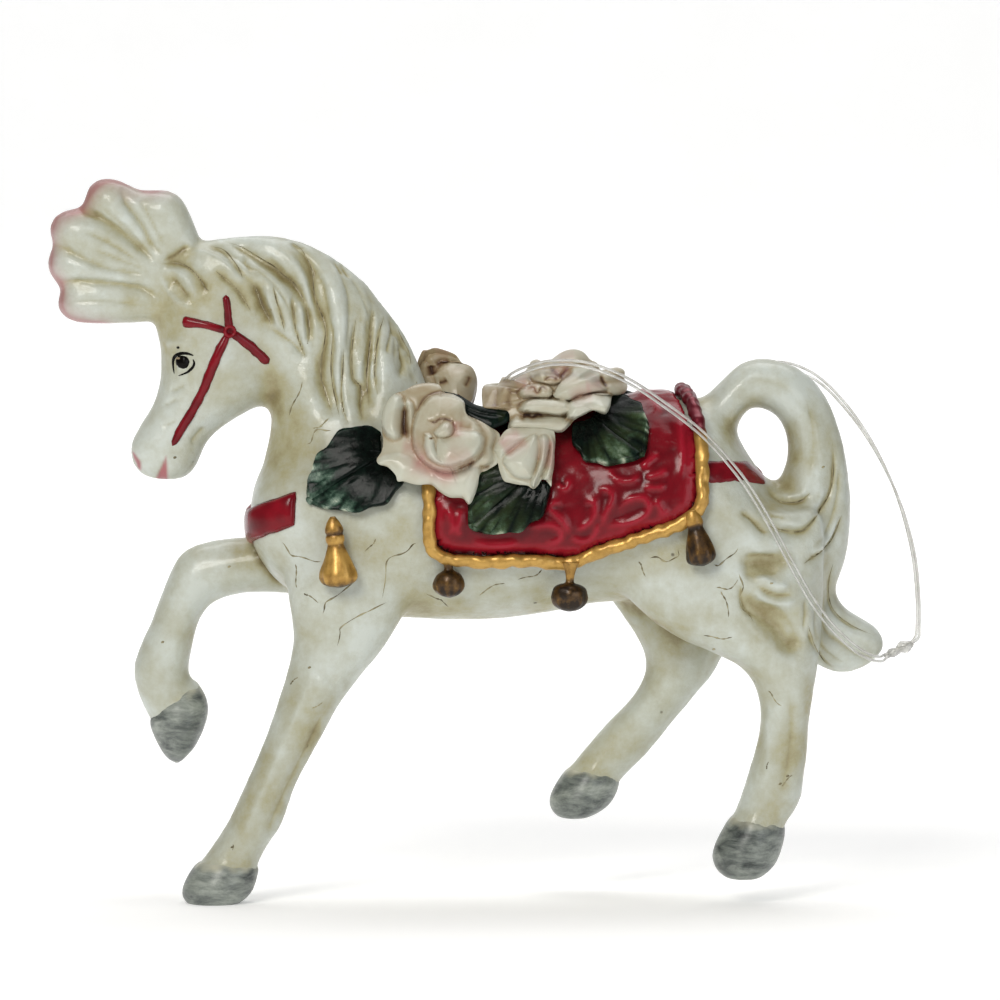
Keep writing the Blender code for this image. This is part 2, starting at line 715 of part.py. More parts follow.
def blanket_seat(trees, along, around, margin=0.0):
    """A point of the blanket: along runs 0 to 1 from front to rear, around -1 to 1 from near to off edge.

    A margin carries the point that far past the blanket's own edge.
    """
    edge_x, edge_z = lower_edge(along)
    top_x = BLANKET_TOP_FRONT + (BLANKET_TOP_REAR - BLANKET_TOP_FRONT) * along
    side = 1 if around > 0 else -1
    edge_angle = flank_angle(trees, edge_x, edge_z, side)
    share = abs(around)
    bulge = BLANKET_BULGE * math.sin(math.pi * share) * along
    x = (top_x + (edge_x - top_x) * share + bulge) * MM
    return x + margin, edge_angle * share


def lower_edge(along):
    """The blanket's lower edge at a share of its length."""
    edge = np.array(BLANKET_LOWER_EDGE)
    at = edge[0, 0] + (edge[-1, 0] - edge[0, 0]) * along
    return at, float(np.interp(at, edge[:, 0], edge[:, 1]))


def make_blanket(assembly, body, red):
    trees = [tree_of(body)]
    seats = []
    for i in range(BLANKET_COLUMNS):
        row = []
        for j in range(2 * BLANKET_ROWS + 1):
            x, angle = blanket_seat(trees, i / (BLANKET_COLUMNS - 1), j / BLANKET_ROWS - 1)
            row.append(round_barrel(trees, x, angle, DRAPE_SPREAD))
        seats.append(row)
    return draped("saddle_blanket", seats, lambda i, j: BLANKET_THICKNESS, assembly, red)


def braid_line(trees):
    """The braid's middle line: once round the blanket, just outside its edge and on the horse."""
    clear = BRAID_RADIUS + GLUE_GAP
    barrel = BARREL_HALF_WIDTH
    line = []

    def add(along, around, margin, drop):
        x, angle = blanket_seat(trees, along, around, margin)
        angle += math.copysign(drop / barrel, around)
        point, out = round_barrel(trees, x, angle, BRAID_RADIUS)
        line.append(point + out * clear)

    shares = np.linspace(0, 1, 9)
    for share in shares:
        add(0.0, -share, -clear, clear * share**8)
    for share in shares[1:-1]:
        add(share, -1.0, 0.0, clear)
    for share in shares[::-1]:
        add(1.0, -share, clear, clear * share**8)
    for share in shares[1:]:
        add(1.0, share, clear, clear * share**8)
    for share in shares[-2:0:-1]:
        add(share, 1.0, 0.0, clear)
    for share in shares[:0:-1]:
        add(0.0, share, -clear, clear * share**8)
    return line


def make_braid(assembly, body, gold):
    line = braid_line([tree_of(body)])
    rows = spline([*line, line[0]], BRAID_SEGMENTS + 1)[:-1]
    return tube("blanket_braid", rows, BRAID_RADIUS, assembly, gold, closed=True)


def tassel_radius(share):
    shares, sizes = zip(*TASSEL_PROFILE)
    return TASSEL_RADIUS * float(np.interp(share, shares, sizes))


def make_tassel(name, trees, place, length, side, assembly, gold):
    """A turned tassel that lies along the flank, its top at a place in side view."""
    top, lean = on_barrel(*place[:2]), math.radians(place[2])
    down = Vector((math.sin(lean), 0, -math.cos(lean)))
    outside = Vector((0, side, 0))
    stands = []
    for share in np.linspace(0, 1, 9):
        at = top + down * length * share
        point = outermost(trees, at + outside * RAY_REACH, -outside)
        if point is not None:
            stands.append((share * length, point.y * side + tassel_radius(share)))
    slope = (stands[-1][1] - stands[0][1]) / stands[-1][0]
    stand = max(height - slope * run for run, height in stands)
    lean_out = math.atan(slope)
    stand += GLUE_GAP / math.cos(lean_out) + TASSEL_RADIUS * (1 / math.cos(lean_out) - 1)
    axis = down * math.cos(lean_out) + outside * math.sin(lean_out)
    out = (outside - axis * axis.y * side).normalized()
    across = axis.cross(out)
    top.y = side * stand
    angles = full_turn(TASSEL_SEGMENTS)
    bm = bmesh.new()
    rings = []
    for share, size in TASSEL_PROFILE:
        middle = top + axis * length * share
        reach = TASSEL_RADIUS * size
        rings.append([middle + out * reach * math.cos(a) + across * reach * math.sin(a) for a in angles])
    add_skin(bm, rings)
    return add_object(name, mesh_from(bm, name), assembly, gold)


def make_tassels(assembly, trees, gold):
    for side, word in ((-1, "near"), (1, "off")):
        for name, place in TASSELS.items():
            make_tassel(f"{word}_{name}", trees, place, TASSEL_LENGTH, side, assembly, gold)
        shoulder = f"{word}_shoulder_tassel"
        make_tassel(shoulder, trees, SHOULDER_TASSEL, SHOULDER_TASSEL_LENGTH, side, assembly, gold)


# Roses and leaves


def leaf_half_breadth(share):
    """Share of a leaf's half breadth along its length: round at the base, pointed at the tip."""
    return max(LEAF_TIP_SHARE, math.sin(math.pi * (LEAF_BASE_SHARE + (1 - LEAF_BASE_SHARE) * share) ** 0.75))


def make_leaf(name, trees, assembly, green):
    x, angle, heading, length, breadth = LEAVES[name]
    side = 1 if angle > 0 else -1
    heading = math.radians(heading)
    seats = []
    for share in np.linspace(0, 1, LEAF_ROWS):
        half = breadth * leaf_half_breadth(share)
        row = []
        for across in np.linspace(-1, 1, LEAF_COLUMNS):
            along = length * share - LEAF_NOTCH * length * abs(across) * (1 - share)
            run = along * math.cos(heading) - half * across * math.sin(heading)
            fall = along * math.sin(heading) + half * across * math.cos(heading)
            at = math.radians(angle) + side * fall * MM / BARREL_HALF_WIDTH
            row.append(round_barrel(trees, (x + run) * MM, at, DRAPE_SPREAD))
        seats.append(row)

    def thickness(i, j):
        return LEAF_THICKNESS * (1 - LEAF_CROWN * abs(2 * j / (LEAF_COLUMNS - 1) - 1))

    return draped(name, seats, thickness, assembly, green)


def make_rose(name, trees, assembly, ivory):
    """A rose head: stepped rings of petals over a back that follows whatever lies under it."""
    x, angle, radius, height, petals = ROSES[name]
    radius, height = radius * MM, height * MM
    centre, out = round_barrel(trees, x * MM, math.radians(angle), 0.0)
    along = Vector((1, 0, 0))
    across = out.cross(along)
    angles = full_turn(ROSE_SEGMENTS)
    steps = np.linspace(-ROSE_SPREAD, ROSE_SPREAD, 5)
    offsets = [along * step + across * aside for step, aside in itertools.product(steps, steps)]

    def seat(turn, reach):
        """Height of the highest support near a point of the rose's back, above the rose's own centre."""
        flat = centre + (along * math.cos(turn) + across * math.sin(turn)) * reach
        return support(trees, flat, out, offsets) + GLUE_GAP

    def ring(reach, level, depth, count, twist):
        points = []
        for turn in angles:
            away = reach * (1 + depth * math.cos(count * turn + twist))
            flat = (along * math.cos(turn) + across * math.sin(turn)) * away
            points.append(centre + flat + out * level(turn, away))
        return points

    def fall(away):
        return away * away / (2 * ROSE_CURVE_RADIUS)

    rings = []
    for share in ROSE_BACK_RINGS:
        rings.append(ring(radius * share, seat, 0.0, 1, 0.0))
    for step, (share, rise, depth) in enumerate(ROSE_RINGS):

        def level(turn, away, rise=rise):
            return max(height * rise - fall(away), seat(turn, away) + ROSE_LIP)

        rings.append(ring(radius * share, level, depth, petals, step * ROSE_TWIST))
    bm = bmesh.new()
    add_skin(bm, rings)
    return add_object(name, mesh_from(bm, name), assembly, ivory)


# Harness


def cheek_point(trees, x, z, side, lift):
    out = Vector((0, side, 0))
    return outermost(trees, bench(x, 0, z) + out * RAY_REACH, -out) + out * lift


def make_bridle(name, side, trees, assembly, red):
    """Four straps and a rosette on one cheek, joined into one raised line."""
    lift = BRIDLE_RADIUS + GLUE_GAP
    parts = []
    for number, route in enumerate(BRIDLE_STRAPS):
        rows = spline(route, 2 * len(route))
        points = [cheek_point(trees, x, z, side, lift) for x, z in rows]
        strap = tube(f"{name}_strap_{number}", points, BRIDLE_RADIUS, assembly, red, facets=1)
        parts.append(hide(add_object(f"{name}_piece_{number}", frozen(strap), assembly)))
        bpy.data.objects.remove(strap)
    bm = bmesh.new()
    bmesh.ops.create_icosphere(bm, subdivisions=1, radius=BRIDLE_ROSETTE_RADIUS)
    middle = cheek_point(trees, *BRIDLE_ROSETTE, side, BRIDLE_ROSETTE_RADIUS + GLUE_GAP)
    bmesh.ops.translate(bm, verts=bm.verts, vec=middle)
    bridle = add_object(name, mesh_from(bm, name), assembly, red)
    for part in parts:
        join = bridle.modifiers.new("join_" + part.name, "BOOLEAN")
        join.operation = "UNION"
        join.object = part
    return bridle


def make_breast_strap(trees, assembly, red):
    seats = []
    for turn in np.linspace(-BREAST_STRAP_REACH, BREAST_STRAP_REACH, BREAST_STRAP_COLUMNS):
        share = abs(turn) / BREAST_STRAP_REACH
        middle = BREAST_STRAP_FRONT_HEIGHT + (BREAST_STRAP_END_HEIGHT - BREAST_STRAP_FRONT_HEIGHT) * share
        out = Vector((-math.cos(turn), math.sin(turn), 0))
        up = Vector((0, 0, 1))
        offsets = crosswise(up, out.cross(up), DRAPE_SPREAD)
        row = []
        for across in np.linspace(-0.5, 0.5, BREAST_STRAP_ROWS):
            place = on_barrel(BREAST_STRAP_AXIS_X, middle) + up * across * BREAST_STRAP_WIDTH
            row.append((place + out * support(trees, place, out, offsets, BREAST_STRAP_START), out))
        seats.append(row)
    return draped("breast_strap", seats, lambda i, j: STRAP_THICKNESS, assembly, red)


def make_crupper(name, side, trees, assembly, red):
    out = Vector((0, side, 0))
    up = Vector((0, 0, 1))
    offsets = crosswise(up, out.cross(up), DRAPE_SPREAD)
    seats = []
    for x, z in spline(CRUPPER_ROUTE, CRUPPER_COLUMNS):
        row = []
        for across in (-0.5, 0.0, 0.5):
            place = on_barrel(x, z) + up * across * CRUPPER_WIDTH
            row.append((place + out * support(trees, place, out, offsets), out))
        seats.append(row)
    return draped(name, seats, lambda i, j: STRAP_THICKNESS, assembly, red)


# The hanging loop


def drill_thread_hole(body, blanket, assembly):
    """The hole in the back that holds the thread's two ends."""
    bm = bmesh.new()
    bmesh.ops.create_cone(
        bm,
        cap_ends=True,
        segments=TASSEL_SEGMENTS,
        radius1=THREAD_HOLE_RADIUS,
        radius2=THREAD_HOLE_RADIUS,
        depth=2 * THREAD_HOLE_DEPTH,
    )
    drill = hide(add_object("thread_hole_drill", mesh_from(bm, "thread_hole_drill"), assembly))
    drill.location = hole_mouth(body)
    for target in (body, blanket):
        cut(target, drill)


def hole_mouth(body):
    """Where the thread comes out: the top of the blanket over the middle of the back."""
    point, out = round_barrel([tree_of(body)], THREAD_HOLE[0] * MM, THREAD_HOLE[1], 0.0)
    return point + out * (GLUE_GAP + BLANKET_THICKNESS)


def make_thread(loop, mouth, clear_nylon):
    """The two strands from the hole to the knot and the bight beyond it, about the hole's mouth."""
    routes = {
        "thread_near_strand": (NEAR_STRAND, STRAND_SEGMENTS),
        "thread_far_strand": (FAR_STRAND, STRAND_SEGMENTS),
        "thread_hanging_bight": (HANGING_BIGHT, BIGHT_SEGMENTS),
    }
    for name, (route, count) in routes.items():
        points = [Vector(row) * MM - mouth for row in spline(route, count)]
        tube(name, points, THREAD_DIAMETER / 2, loop, clear_nylon)
    bm = bmesh.new()
    axis = Vector((math.cos(KNOT_TILT), 0, math.sin(KNOT_TILT)))
    up = Vector((-math.sin(KNOT_TILT), 0, math.cos(KNOT_TILT)))
    middle = Vector(KNOT_CENTRE) * MM - mouth
    rings = []
    across = Vector((0, 1, 0))
    for share, size in KNOT_PROFILE:
        reach = KNOT_RADIUS * size
        at = middle + axis * KNOT_LENGTH * share
        turn = full_turn(TASSEL_SEGMENTS)
        rings.append([at + up * reach * math.cos(a) + across * reach * math.sin(a) for a in turn])
    add_skin(bm, rings)
    add_object("thread_knot", mesh_from(bm, "thread_knot"), loop, clear_nylon)


def main():
    clear_scene()
    resin = paint("antiqued_ivory_glaze", (0.62, 0.60, 0.48), 0.32)
    horn = paint("grey_hoof_paint", (0.20, 0.22, 0.21), 0.35)
    red = paint("crimson_enamel", (0.25, 0.01, 0.03), 0.25)
    gold = paint("gold_paint", (0.48, 0.28, 0.06), 0.35, 0.8)
    green = paint("dark_green_enamel", (0.02, 0.05, 0.03), 0.3)
    ivory = paint("blush_ivory_petals", (0.74, 0.63, 0.53), 0.35)
    clear_nylon = paint("clear_nylon", (0.8, 0.8, 0.8), 0.2)

    assembly = bpy.data.objects.new("assembly", None)
    bpy.context.scene.collection.objects.link(assembly)

    body = make_horse_body(assembly, resin)
    hooves = make_hooves(assembly, horn)
    bpy.context.view_layer.update()
    raised = make_raised_foreleg(assembly, resin)
    plume = make_plume(assembly, resin)
    body_cutter = swollen_cutter(body, GLUE_GAP, assembly)
    cut(raised, body_cutter)
    cut(plume, body_cutter)
    for name, hoof in hooves.items():
        cut(raised if name == "off_fore_hoof" else body, swollen_cutter(hoof, GLUE_GAP, assembly))
    bpy.context.view_layer.update()

    blanket = make_blanket(assembly, body, red)
    braid = make_braid(assembly, body, gold)
    make_tassels(assembly, [tree_of(body)], gold)
    mouth = hole_mouth(body)
    bpy.context.view_layer.update()
    supports = [tree_of(piece) for piece in (body, blanket, braid)]
    for name in LEAVES:
        leaf = make_leaf(name, supports, assembly, green)
        bpy.context.view_layer.update()
        supports.append(tree_of(leaf))
    for name in ROSES:
        rose = make_rose(name, supports, assembly, ivory)
        bpy.context.view_layer.update()
        supports.append(tree_of(rose))

    cheeks = [tree_of(body)]
    for side, word in ((-1, "near"), (1, "off")):
        make_bridle(f"{word}_bridle", side, cheeks, assembly, red)
        make_crupper(f"{word}_crupper", side, cheeks, assembly, red)
    make_breast_strap([*cheeks, tree_of(raised)], assembly, red)
    drill_thread_hole(body, blanket, assembly)

    loop = bpy.data.objects.new("hanging_loop", None)
    bpy.context.scene.collection.objects.link(loop)
    make_thread(loop, mouth, clear_nylon)
    assembly.location = -mouth


main()
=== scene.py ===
import math

import bmesh
import bpy
import numpy as np
from mathutils import Matrix, Vector, noise
from mathutils.bvhtree import BVHTree


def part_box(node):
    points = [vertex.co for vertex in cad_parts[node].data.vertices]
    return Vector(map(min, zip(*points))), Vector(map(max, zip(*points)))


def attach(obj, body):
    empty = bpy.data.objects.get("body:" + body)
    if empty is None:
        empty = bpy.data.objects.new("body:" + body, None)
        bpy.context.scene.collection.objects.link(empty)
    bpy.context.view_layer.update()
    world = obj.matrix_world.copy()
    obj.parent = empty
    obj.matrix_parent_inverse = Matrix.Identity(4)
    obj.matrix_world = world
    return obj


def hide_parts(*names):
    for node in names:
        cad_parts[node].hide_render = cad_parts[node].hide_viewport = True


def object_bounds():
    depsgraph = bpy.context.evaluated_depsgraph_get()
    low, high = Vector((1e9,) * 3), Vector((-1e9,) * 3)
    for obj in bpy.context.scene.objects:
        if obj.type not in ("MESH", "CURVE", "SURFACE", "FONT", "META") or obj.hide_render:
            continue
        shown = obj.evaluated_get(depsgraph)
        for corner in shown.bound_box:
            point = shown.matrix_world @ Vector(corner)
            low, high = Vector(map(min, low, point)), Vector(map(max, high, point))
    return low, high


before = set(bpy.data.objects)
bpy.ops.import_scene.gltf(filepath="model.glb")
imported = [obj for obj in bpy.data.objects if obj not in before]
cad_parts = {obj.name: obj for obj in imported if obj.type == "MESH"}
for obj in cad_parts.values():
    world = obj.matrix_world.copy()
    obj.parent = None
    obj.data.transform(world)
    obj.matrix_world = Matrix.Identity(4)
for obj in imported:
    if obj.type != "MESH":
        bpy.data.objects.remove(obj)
cadLow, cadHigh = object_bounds()
mm = 0.001
benchHeight = cadLow[2]  # sole of the lowest hoof, which heights are measured from
nearSide, offSide = -1, 1  # the horse faces -X and its near side faces -Y
backAxis = 47.0  # height of the line that the saddle is laid round
wellClear = 60.0  # further out than any part of the horse
print("frame loaded,", len(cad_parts), "solids")


# Small helpers

def spot(x, y, z):  # bench millimetres to a point in the frame
    return Vector((x * mm, y * mm, z * mm + benchHeight))


def ramped(value, start, run):  # 0 up to the start, then rising to 1 over the run
    return np.clip((value - start) / run, 0, 1)


def linear(text):  # sRGB hex to linear colour
    parts = [int(text[i:i + 2], 16) / 255 for i in (1, 3, 5)]
    return (*[c / 12.92 if c <= 0.04045 else ((c + 0.055) / 1.055) ** 2.4 for c in parts], 1.0)


def perMm(size):  # texture scale for a pattern that repeats about every so many millimetres
    return 1.0 / (size * mm)


def addNode(tree, kind, inputs=None, stops=(), **settings):
    node = tree.nodes.new("ShaderNode" + kind)
    for name, value in settings.items():
        setattr(node, name, value)
    for place, (at, colour) in enumerate(stops):
        ramp = node.color_ramp.elements
        stop = ramp[place] if place < 2 else ramp.new(at)
        stop.position = at
        stop.color = linear(colour)
    for name, value in (inputs or {}).items():
        if isinstance(value, bpy.types.NodeSocket):
            tree.links.new(value, node.inputs[name])
        else:
            node.inputs[name].default_value = value
    return node


# grain and grit are size in mm, detail, roughness and warp of a noise; patch is the noise's range and how far
# it moves the wash, which is brushed rub and painted shade; pits are size, range, strength and colour; gloss
# is the noise's range and the roughness at its two ends; bump is strength and height in mm
def paint(name, grain, stops, grit=None, stretch=None, patch=None, pits=None, tint=None, gloss=None,
          bump=None, **sockets):  # a colour ramp, read by noise or by a wash of rub and painted shade that it breaks up
    material = bpy.data.materials.new(name)
    material.use_nodes = True
    tree = material.node_tree
    shader = tree.nodes["Principled BSDF"]
    for socket, value in sockets.items():
        shader.inputs[socket.replace("_", " ")].default_value = value
    place = addNode(tree, "TexCoord").outputs["Object"]
    if stretch:
        place = addNode(tree, "Mapping", {"Vector": place, "Scale": stretch}).outputs["Vector"]
    noises = [
        addNode(tree, "TexNoise", {"Vector": place, "Scale": perMm(size), "Detail": detail,
                                   "Roughness": rough, "Distortion": warp}).outputs["Fac"]
        for size, detail, rough, warp in (grain, *([grit] if grit else []))]
    cloud, relief = noises[0], noises[-1]
    depth = cloud
    if patch:
        low, high, spread = patch
        washAndShade = addNode(tree, "Attribute", attribute_name="washAndShade").outputs["Fac"]
        broken = addNode(tree, "MapRange", {"Value": cloud, "From Min": low, "From Max": high,
                                            "To Min": -spread, "To Max": spread}).outputs["Result"]
        depth = addNode(tree, "Math", {0: washAndShade, 1: broken}, operation="ADD").outputs["Value"]
    colour = addNode(tree, "ValToRGB", {"Fac": depth}, stops).outputs["Color"]
    if pits:  # specks where a bubble in the casting took the brown rub
        size, low, high, strength, brown = pits
        holes = addNode(tree, "TexVoronoi", {"Vector": place, "Scale": perMm(size)}).outputs["Distance"]
        pit = addNode(tree, "MapRange", {"Value": holes, "From Min": low, "From Max": high,
                                         "To Min": strength, "To Max": 0.0}).outputs["Result"]
        colour = addNode(tree, "Mix", {0: pit, 6: colour, 7: linear(brown)}, data_type="RGBA").outputs[2]
        relief = addNode(tree, "Math", {0: relief, 1: pit}, operation="SUBTRACT").outputs["Value"]
    if tint:  # the second colour, where the painted blush asks for it
        blush = addNode(tree, "Attribute", attribute_name="blush").outputs["Fac"]
        colour = addNode(tree, "Mix", {0: blush, 6: colour, 7: linear(tint)}, data_type="RGBA").outputs[2]
    tree.links.new(colour, shader.inputs["Base Color"])
    if gloss:
        low, high, smooth, rough = gloss
        shine = addNode(tree, "MapRange", {"Value": cloud, "From Min": low, "From Max": high,
                                           "To Min": smooth, "To Max": rough}).outputs["Result"]
        tree.links.new(shine, shader.inputs["Roughness"])
    if bump:
        strength, height = bump
        raised = addNode(tree, "Bump", {"Height": relief, "Strength": strength, "Distance": height * mm})
        tree.links.new(raised.outputs["Normal"], shader.inputs["Normal"])
    return material


def addObject(name, data):
    made = bpy.data.objects.new(name, data)
    bpy.context.scene.collection.objects.link(made)
    return made


def addPiece(name, data, material, replaces=(), body="horse"):
    piece = addObject(name, data)
    data.materials.clear()
    data.materials.append(material)
    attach(piece, body)
    if replaces:
        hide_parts(*replaces)
    return piece


def backed(piece, wall):  # gives an open sheet its thickness, inwards
    back = piece.modifiers.new("wall", "SOLIDIFY")
    back.thickness = wall * mm
    back.offset = -1


def meshOf(bm, name):
    mesh = bpy.data.meshes.new(name)
    bm.to_mesh(mesh)
    bm.free()
    mesh.shade_smooth()
    return mesh


def openEdges(bm):
    return [edge for edge in bm.edges if edge.is_boundary]


def onlyVerts(geometry):
    return [part for part in geometry if isinstance(part, bmesh.types.BMVert)]


def turned(profile, sides):  # a closed shape spun round z from pairs of radius and height
    bm = bmesh.new()
    rim = [bm.verts.new((radius, 0, height)) for radius, height in profile]
    edges = [bm.edges.new(pair) for pair in zip(rim, rim[1:])]
    bmesh.ops.spin(bm, geom=rim + edges, axis=(0, 0, 1), cent=(0, 0, 0), angle=math.tau, steps=sides,
                   use_merge=True)
    bmesh.ops.remove_doubles(bm, verts=bm.verts, dist=0.01 * mm)
    bmesh.ops.holes_fill(bm, edges=openEdges(bm))
    bmesh.ops.recalc_face_normals(bm, faces=bm.faces)
    return bm


def nodeCopy(name):  # merged copy of a CAD solid
    bm = bmesh.new()
    bm.from_mesh(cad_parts[name].data)
    bmesh.ops.remove_doubles(bm, verts=bm.verts, dist=0.005 * mm)
    return bm


def melt(bm, name, voxel, rounds):  # round the facets off a merged copy
    holder = addObject(name, meshOf(bm, name))
    soften = holder.modifiers.new("soften", "SUBSURF")
    soften.levels = soften.render_levels = 1
    remesh = holder.modifiers.new("melt", "REMESH")
    remesh.mode = "VOXEL"
    remesh.voxel_size = voxel * mm
    settle = holder.modifiers.new("settle", "SMOOTH")
    settle.factor = 0.5
    settle.iterations = rounds
    graph = bpy.context.evaluated_depsgraph_get()
    melted = bpy.data.meshes.new_from_object(holder.evaluated_get(graph))
    bpy.data.objects.remove(holder)
    melted.name = name
    melted.shade_smooth()
    return melted


def readPoints(mesh):  # points on the bench in millimetres, and their normals
    points = np.empty(len(mesh.vertices) * 3)
    normals = np.empty(len(mesh.vertices) * 3)
    mesh.vertices.foreach_get("co", points)
    mesh.vertex_normals.foreach_get("vector", normals)
    points = points.reshape(-1, 3)
    points[:, 2] -= benchHeight
    return points / mm, normals.reshape(-1, 3)


def writePoints(mesh, points):
    placed = points * mm
    placed[:, 2] += benchHeight
    mesh.vertices.foreach_set("co", placed.ravel())
    mesh.update()


def writeShade(mesh, name, values):  # one painted value at each point
    shade = mesh.attributes.new(name, "FLOAT", "POINT")
    shade.data.foreach_set("value", np.clip(values, 0, 1).astype(np.float32))


def settled(mesh, values, rounds):  # values averaged with their neighbours
    edges = np.empty(len(mesh.edges) * 2, dtype=np.int32)
    mesh.edges.foreach_get("vertices", edges)
    a, b = edges.reshape(-1, 2).T
    count = np.bincount(a, minlength=len(values)) + np.bincount(b, minlength=len(values))
    columns = values.reshape(len(values), -1).copy()
    for _ in range(rounds):
        for k in range(columns.shape[1]):
            total = np.bincount(a, columns[b, k], len(values)) + np.bincount(b, columns[a, k], len(values))
            columns[:, k] = total / np.maximum(count, 1)
    return columns.reshape(values.shape)


def hollowness(mesh, rounds):  # above 0 in hollows, below 0 on ridges, in millimetres
    points, normals = readPoints(mesh)
    return np.einsum("ij,ij->i", settled(mesh, points, rounds) - points, normals)


def smoothLine(points, steps):  # a round line through the points
    points = np.array(points, float)
    ends = np.vstack([2 * points[0] - points[1], points, 2 * points[-1] - points[-2]])
    line = []
    for a, b, c, d in zip(ends, ends[1:], ends[2:], ends[3:]):
        for t in np.arange(steps) / steps:
            bend = (c - a) * t + (2 * a - 5 * b + 4 * c - d) * t ** 2 + (3 * b - a - 3 * c + d) * t ** 3
            line.append(b + 0.5 * bend)
    return np.array(line + [points[-1]])


def lineDistance(flat, line):  # how far each side-view point is from the line, and where along it
    lengths = np.linalg.norm(np.diff(line, axis=0), axis=1)
    starts = np.concatenate([[0], np.cumsum(lengths)])
    nearest = np.full(len(flat), 1e9)
    along = np.zeros(len(flat))
    for place in range(len(line) - 1):
        way = line[place + 1] - line[place]
        share = np.clip((flat - line[place]) @ way / (way @ way), 0, 1)
        gap = np.linalg.norm(flat - line[place] - share[:, None] * way, axis=1)
        nearer = gap < nearest
        nearest[nearer] = gap[nearer]
        along[nearer] = (starts[place] + share[nearer] * lengths[place]) / starts[-1]
    return nearest, along


def within(flat, loop):  # which side-view points the closed line goes round
    inside = np.zeros(len(flat), bool)
    for (ax, az), (bx, bz) in zip(loop, loop[1:]):
        if az != bz:
            level = (az > flat[:, 1]) != (bz > flat[:, 1])
            inside ^= level & (flat[:, 0] < ax + (flat[:, 1] - az) * (bx - ax) / (bz - az))
    return inside


def carve(flat, cuts, skirt=0.35, fade=5.0):  # how deep the rounded cuts go at each side-view point
    sink = np.zeros(len(flat))
    for depth, width, points in cuts:
        line = smoothLine(points, 4)
        reach = 5 * width
        inside = (flat > line.min(0) - reach) & (flat < line.max(0) + reach)
        near = np.nonzero(inside.all(1))[0]
        gap, along = lineDistance(flat[near], line)
        ends = np.clip(np.minimum(along, 1 - along) * fade, 0, 1)
        core = (1 - skirt) * np.exp(-(gap / width) ** 1.3) + skirt * np.exp(-(gap / (2.4 * width)) ** 2)
        sink[near] += depth * ends * core
    return sink


def blobs(flat, spots):  # soft round patches: x, z, radius, amount
    total = np.zeros(len(flat))
    for x, z, radius, amount in spots:
        total += amount * np.exp(-((flat[:, 0] - x) ** 2 + (flat[:, 1] - z) ** 2) / radius ** 2)
    return total


def speckle(points, size, seed):  # smooth noise at each point, about -1 to 1
    shift = Vector((seed * 7.3, seed * 3.1, seed * 5.7))
    return np.array([noise.noise(Vector(p) / size + shift) for p in points])


def treeOf(*meshes):
    points, faces = [], []
    for mesh in meshes:
        start = len(points)
        points += [v.co.copy() for v in mesh.vertices]
        faces += [[start + k for k in face.vertices] for face in mesh.polygons]
    return BVHTree.FromPolygons(points, faces)


def seen(tree, side, x, z):  # the point that a look from the side meets, and its normal
    hit, normal, _, _ = tree.ray_cast(spot(x, wellClear * side, z), Vector((0, -side, 0)))
    return hit, normal


def outFacing(points, normals):  # 1 where a face looks straight away from the saddle's line, -1 towards it
    out = points - (0, 0, backAxis)
    out[:, 0] = 0
    out /= np.linalg.norm(out, axis=1)[:, None]
    return np.einsum("ij,ij->i", normals, out)


# Camera and studio

camera = dict(distance=1.2, elevation=4.0, frameWidth=119.3, aimX=0.36, aimZ=47.5, sensor=36.0, nearest=0.01,
              farthest=20)
lens = bpy.data.cameras.new("camera")
lens.sensor_width = camera["sensor"]
lens.lens = camera["sensor"] * camera["distance"] / (camera["frameWidth"] * mm)
lens.clip_start = camera["nearest"]
lens.clip_end = camera["farthest"]
cameraObject = addObject("camera", lens)
rise = math.radians(camera["elevation"])
away = Vector((0, -math.cos(rise), math.sin(rise))) * camera["distance"]
cameraObject.location = spot(camera["aimX"], 0, camera["aimZ"]) + away
cameraObject.rotation_euler = (math.pi / 2 - rise, 0, 0)
bpy.context.scene.camera = cameraObject
bpy.context.scene.view_settings.view_transform = "Standard"

lights = (  # name, place from the horse in metres, point it aims at, width, watts, colour
    ("key", (-0.34, -0.92, 0.60), (0, 0, 0), 0.42, 7.0, "#FFFCF6"),
    ("fill", (0.60, -0.80, 0.15), (0, 0, 0), 0.50, 1.6, "#F6F9FF"),
    ("top", (0.10, 0.10, 0.95), (0, 0, 0), 0.50, 1.6, "#FFFFFF"),
    ("backdrop", (0.0, 0.60, 1.00), (0.0, 1.30, 0.10), 1.00, 10.0, "#FFFFFF"),
)
for name, place, aim, width, watts, colour in lights:
    lamp = bpy.data.lights.new(name, "AREA")
    lamp.size = width
    lamp.energy = watts
    lamp.color = linear(colour)[:3]
    lampObject = addObject(name, lamp)
    lampObject.location = place
    lampObject.rotation_euler = (Vector(aim) - Vector(place)).to_track_quat("-Z", "Y").to_euler()
studio = dict(colour="#FFFFFF", strength=0.10)
world = bpy.data.worlds.new("studio")
bpy.context.scene.world = world
world.use_nodes = True
world.node_tree.nodes["Background"].inputs["Color"].default_value = linear(studio["colour"])
world.node_tree.nodes["Background"].inputs["Strength"].default_value = studio["strength"]

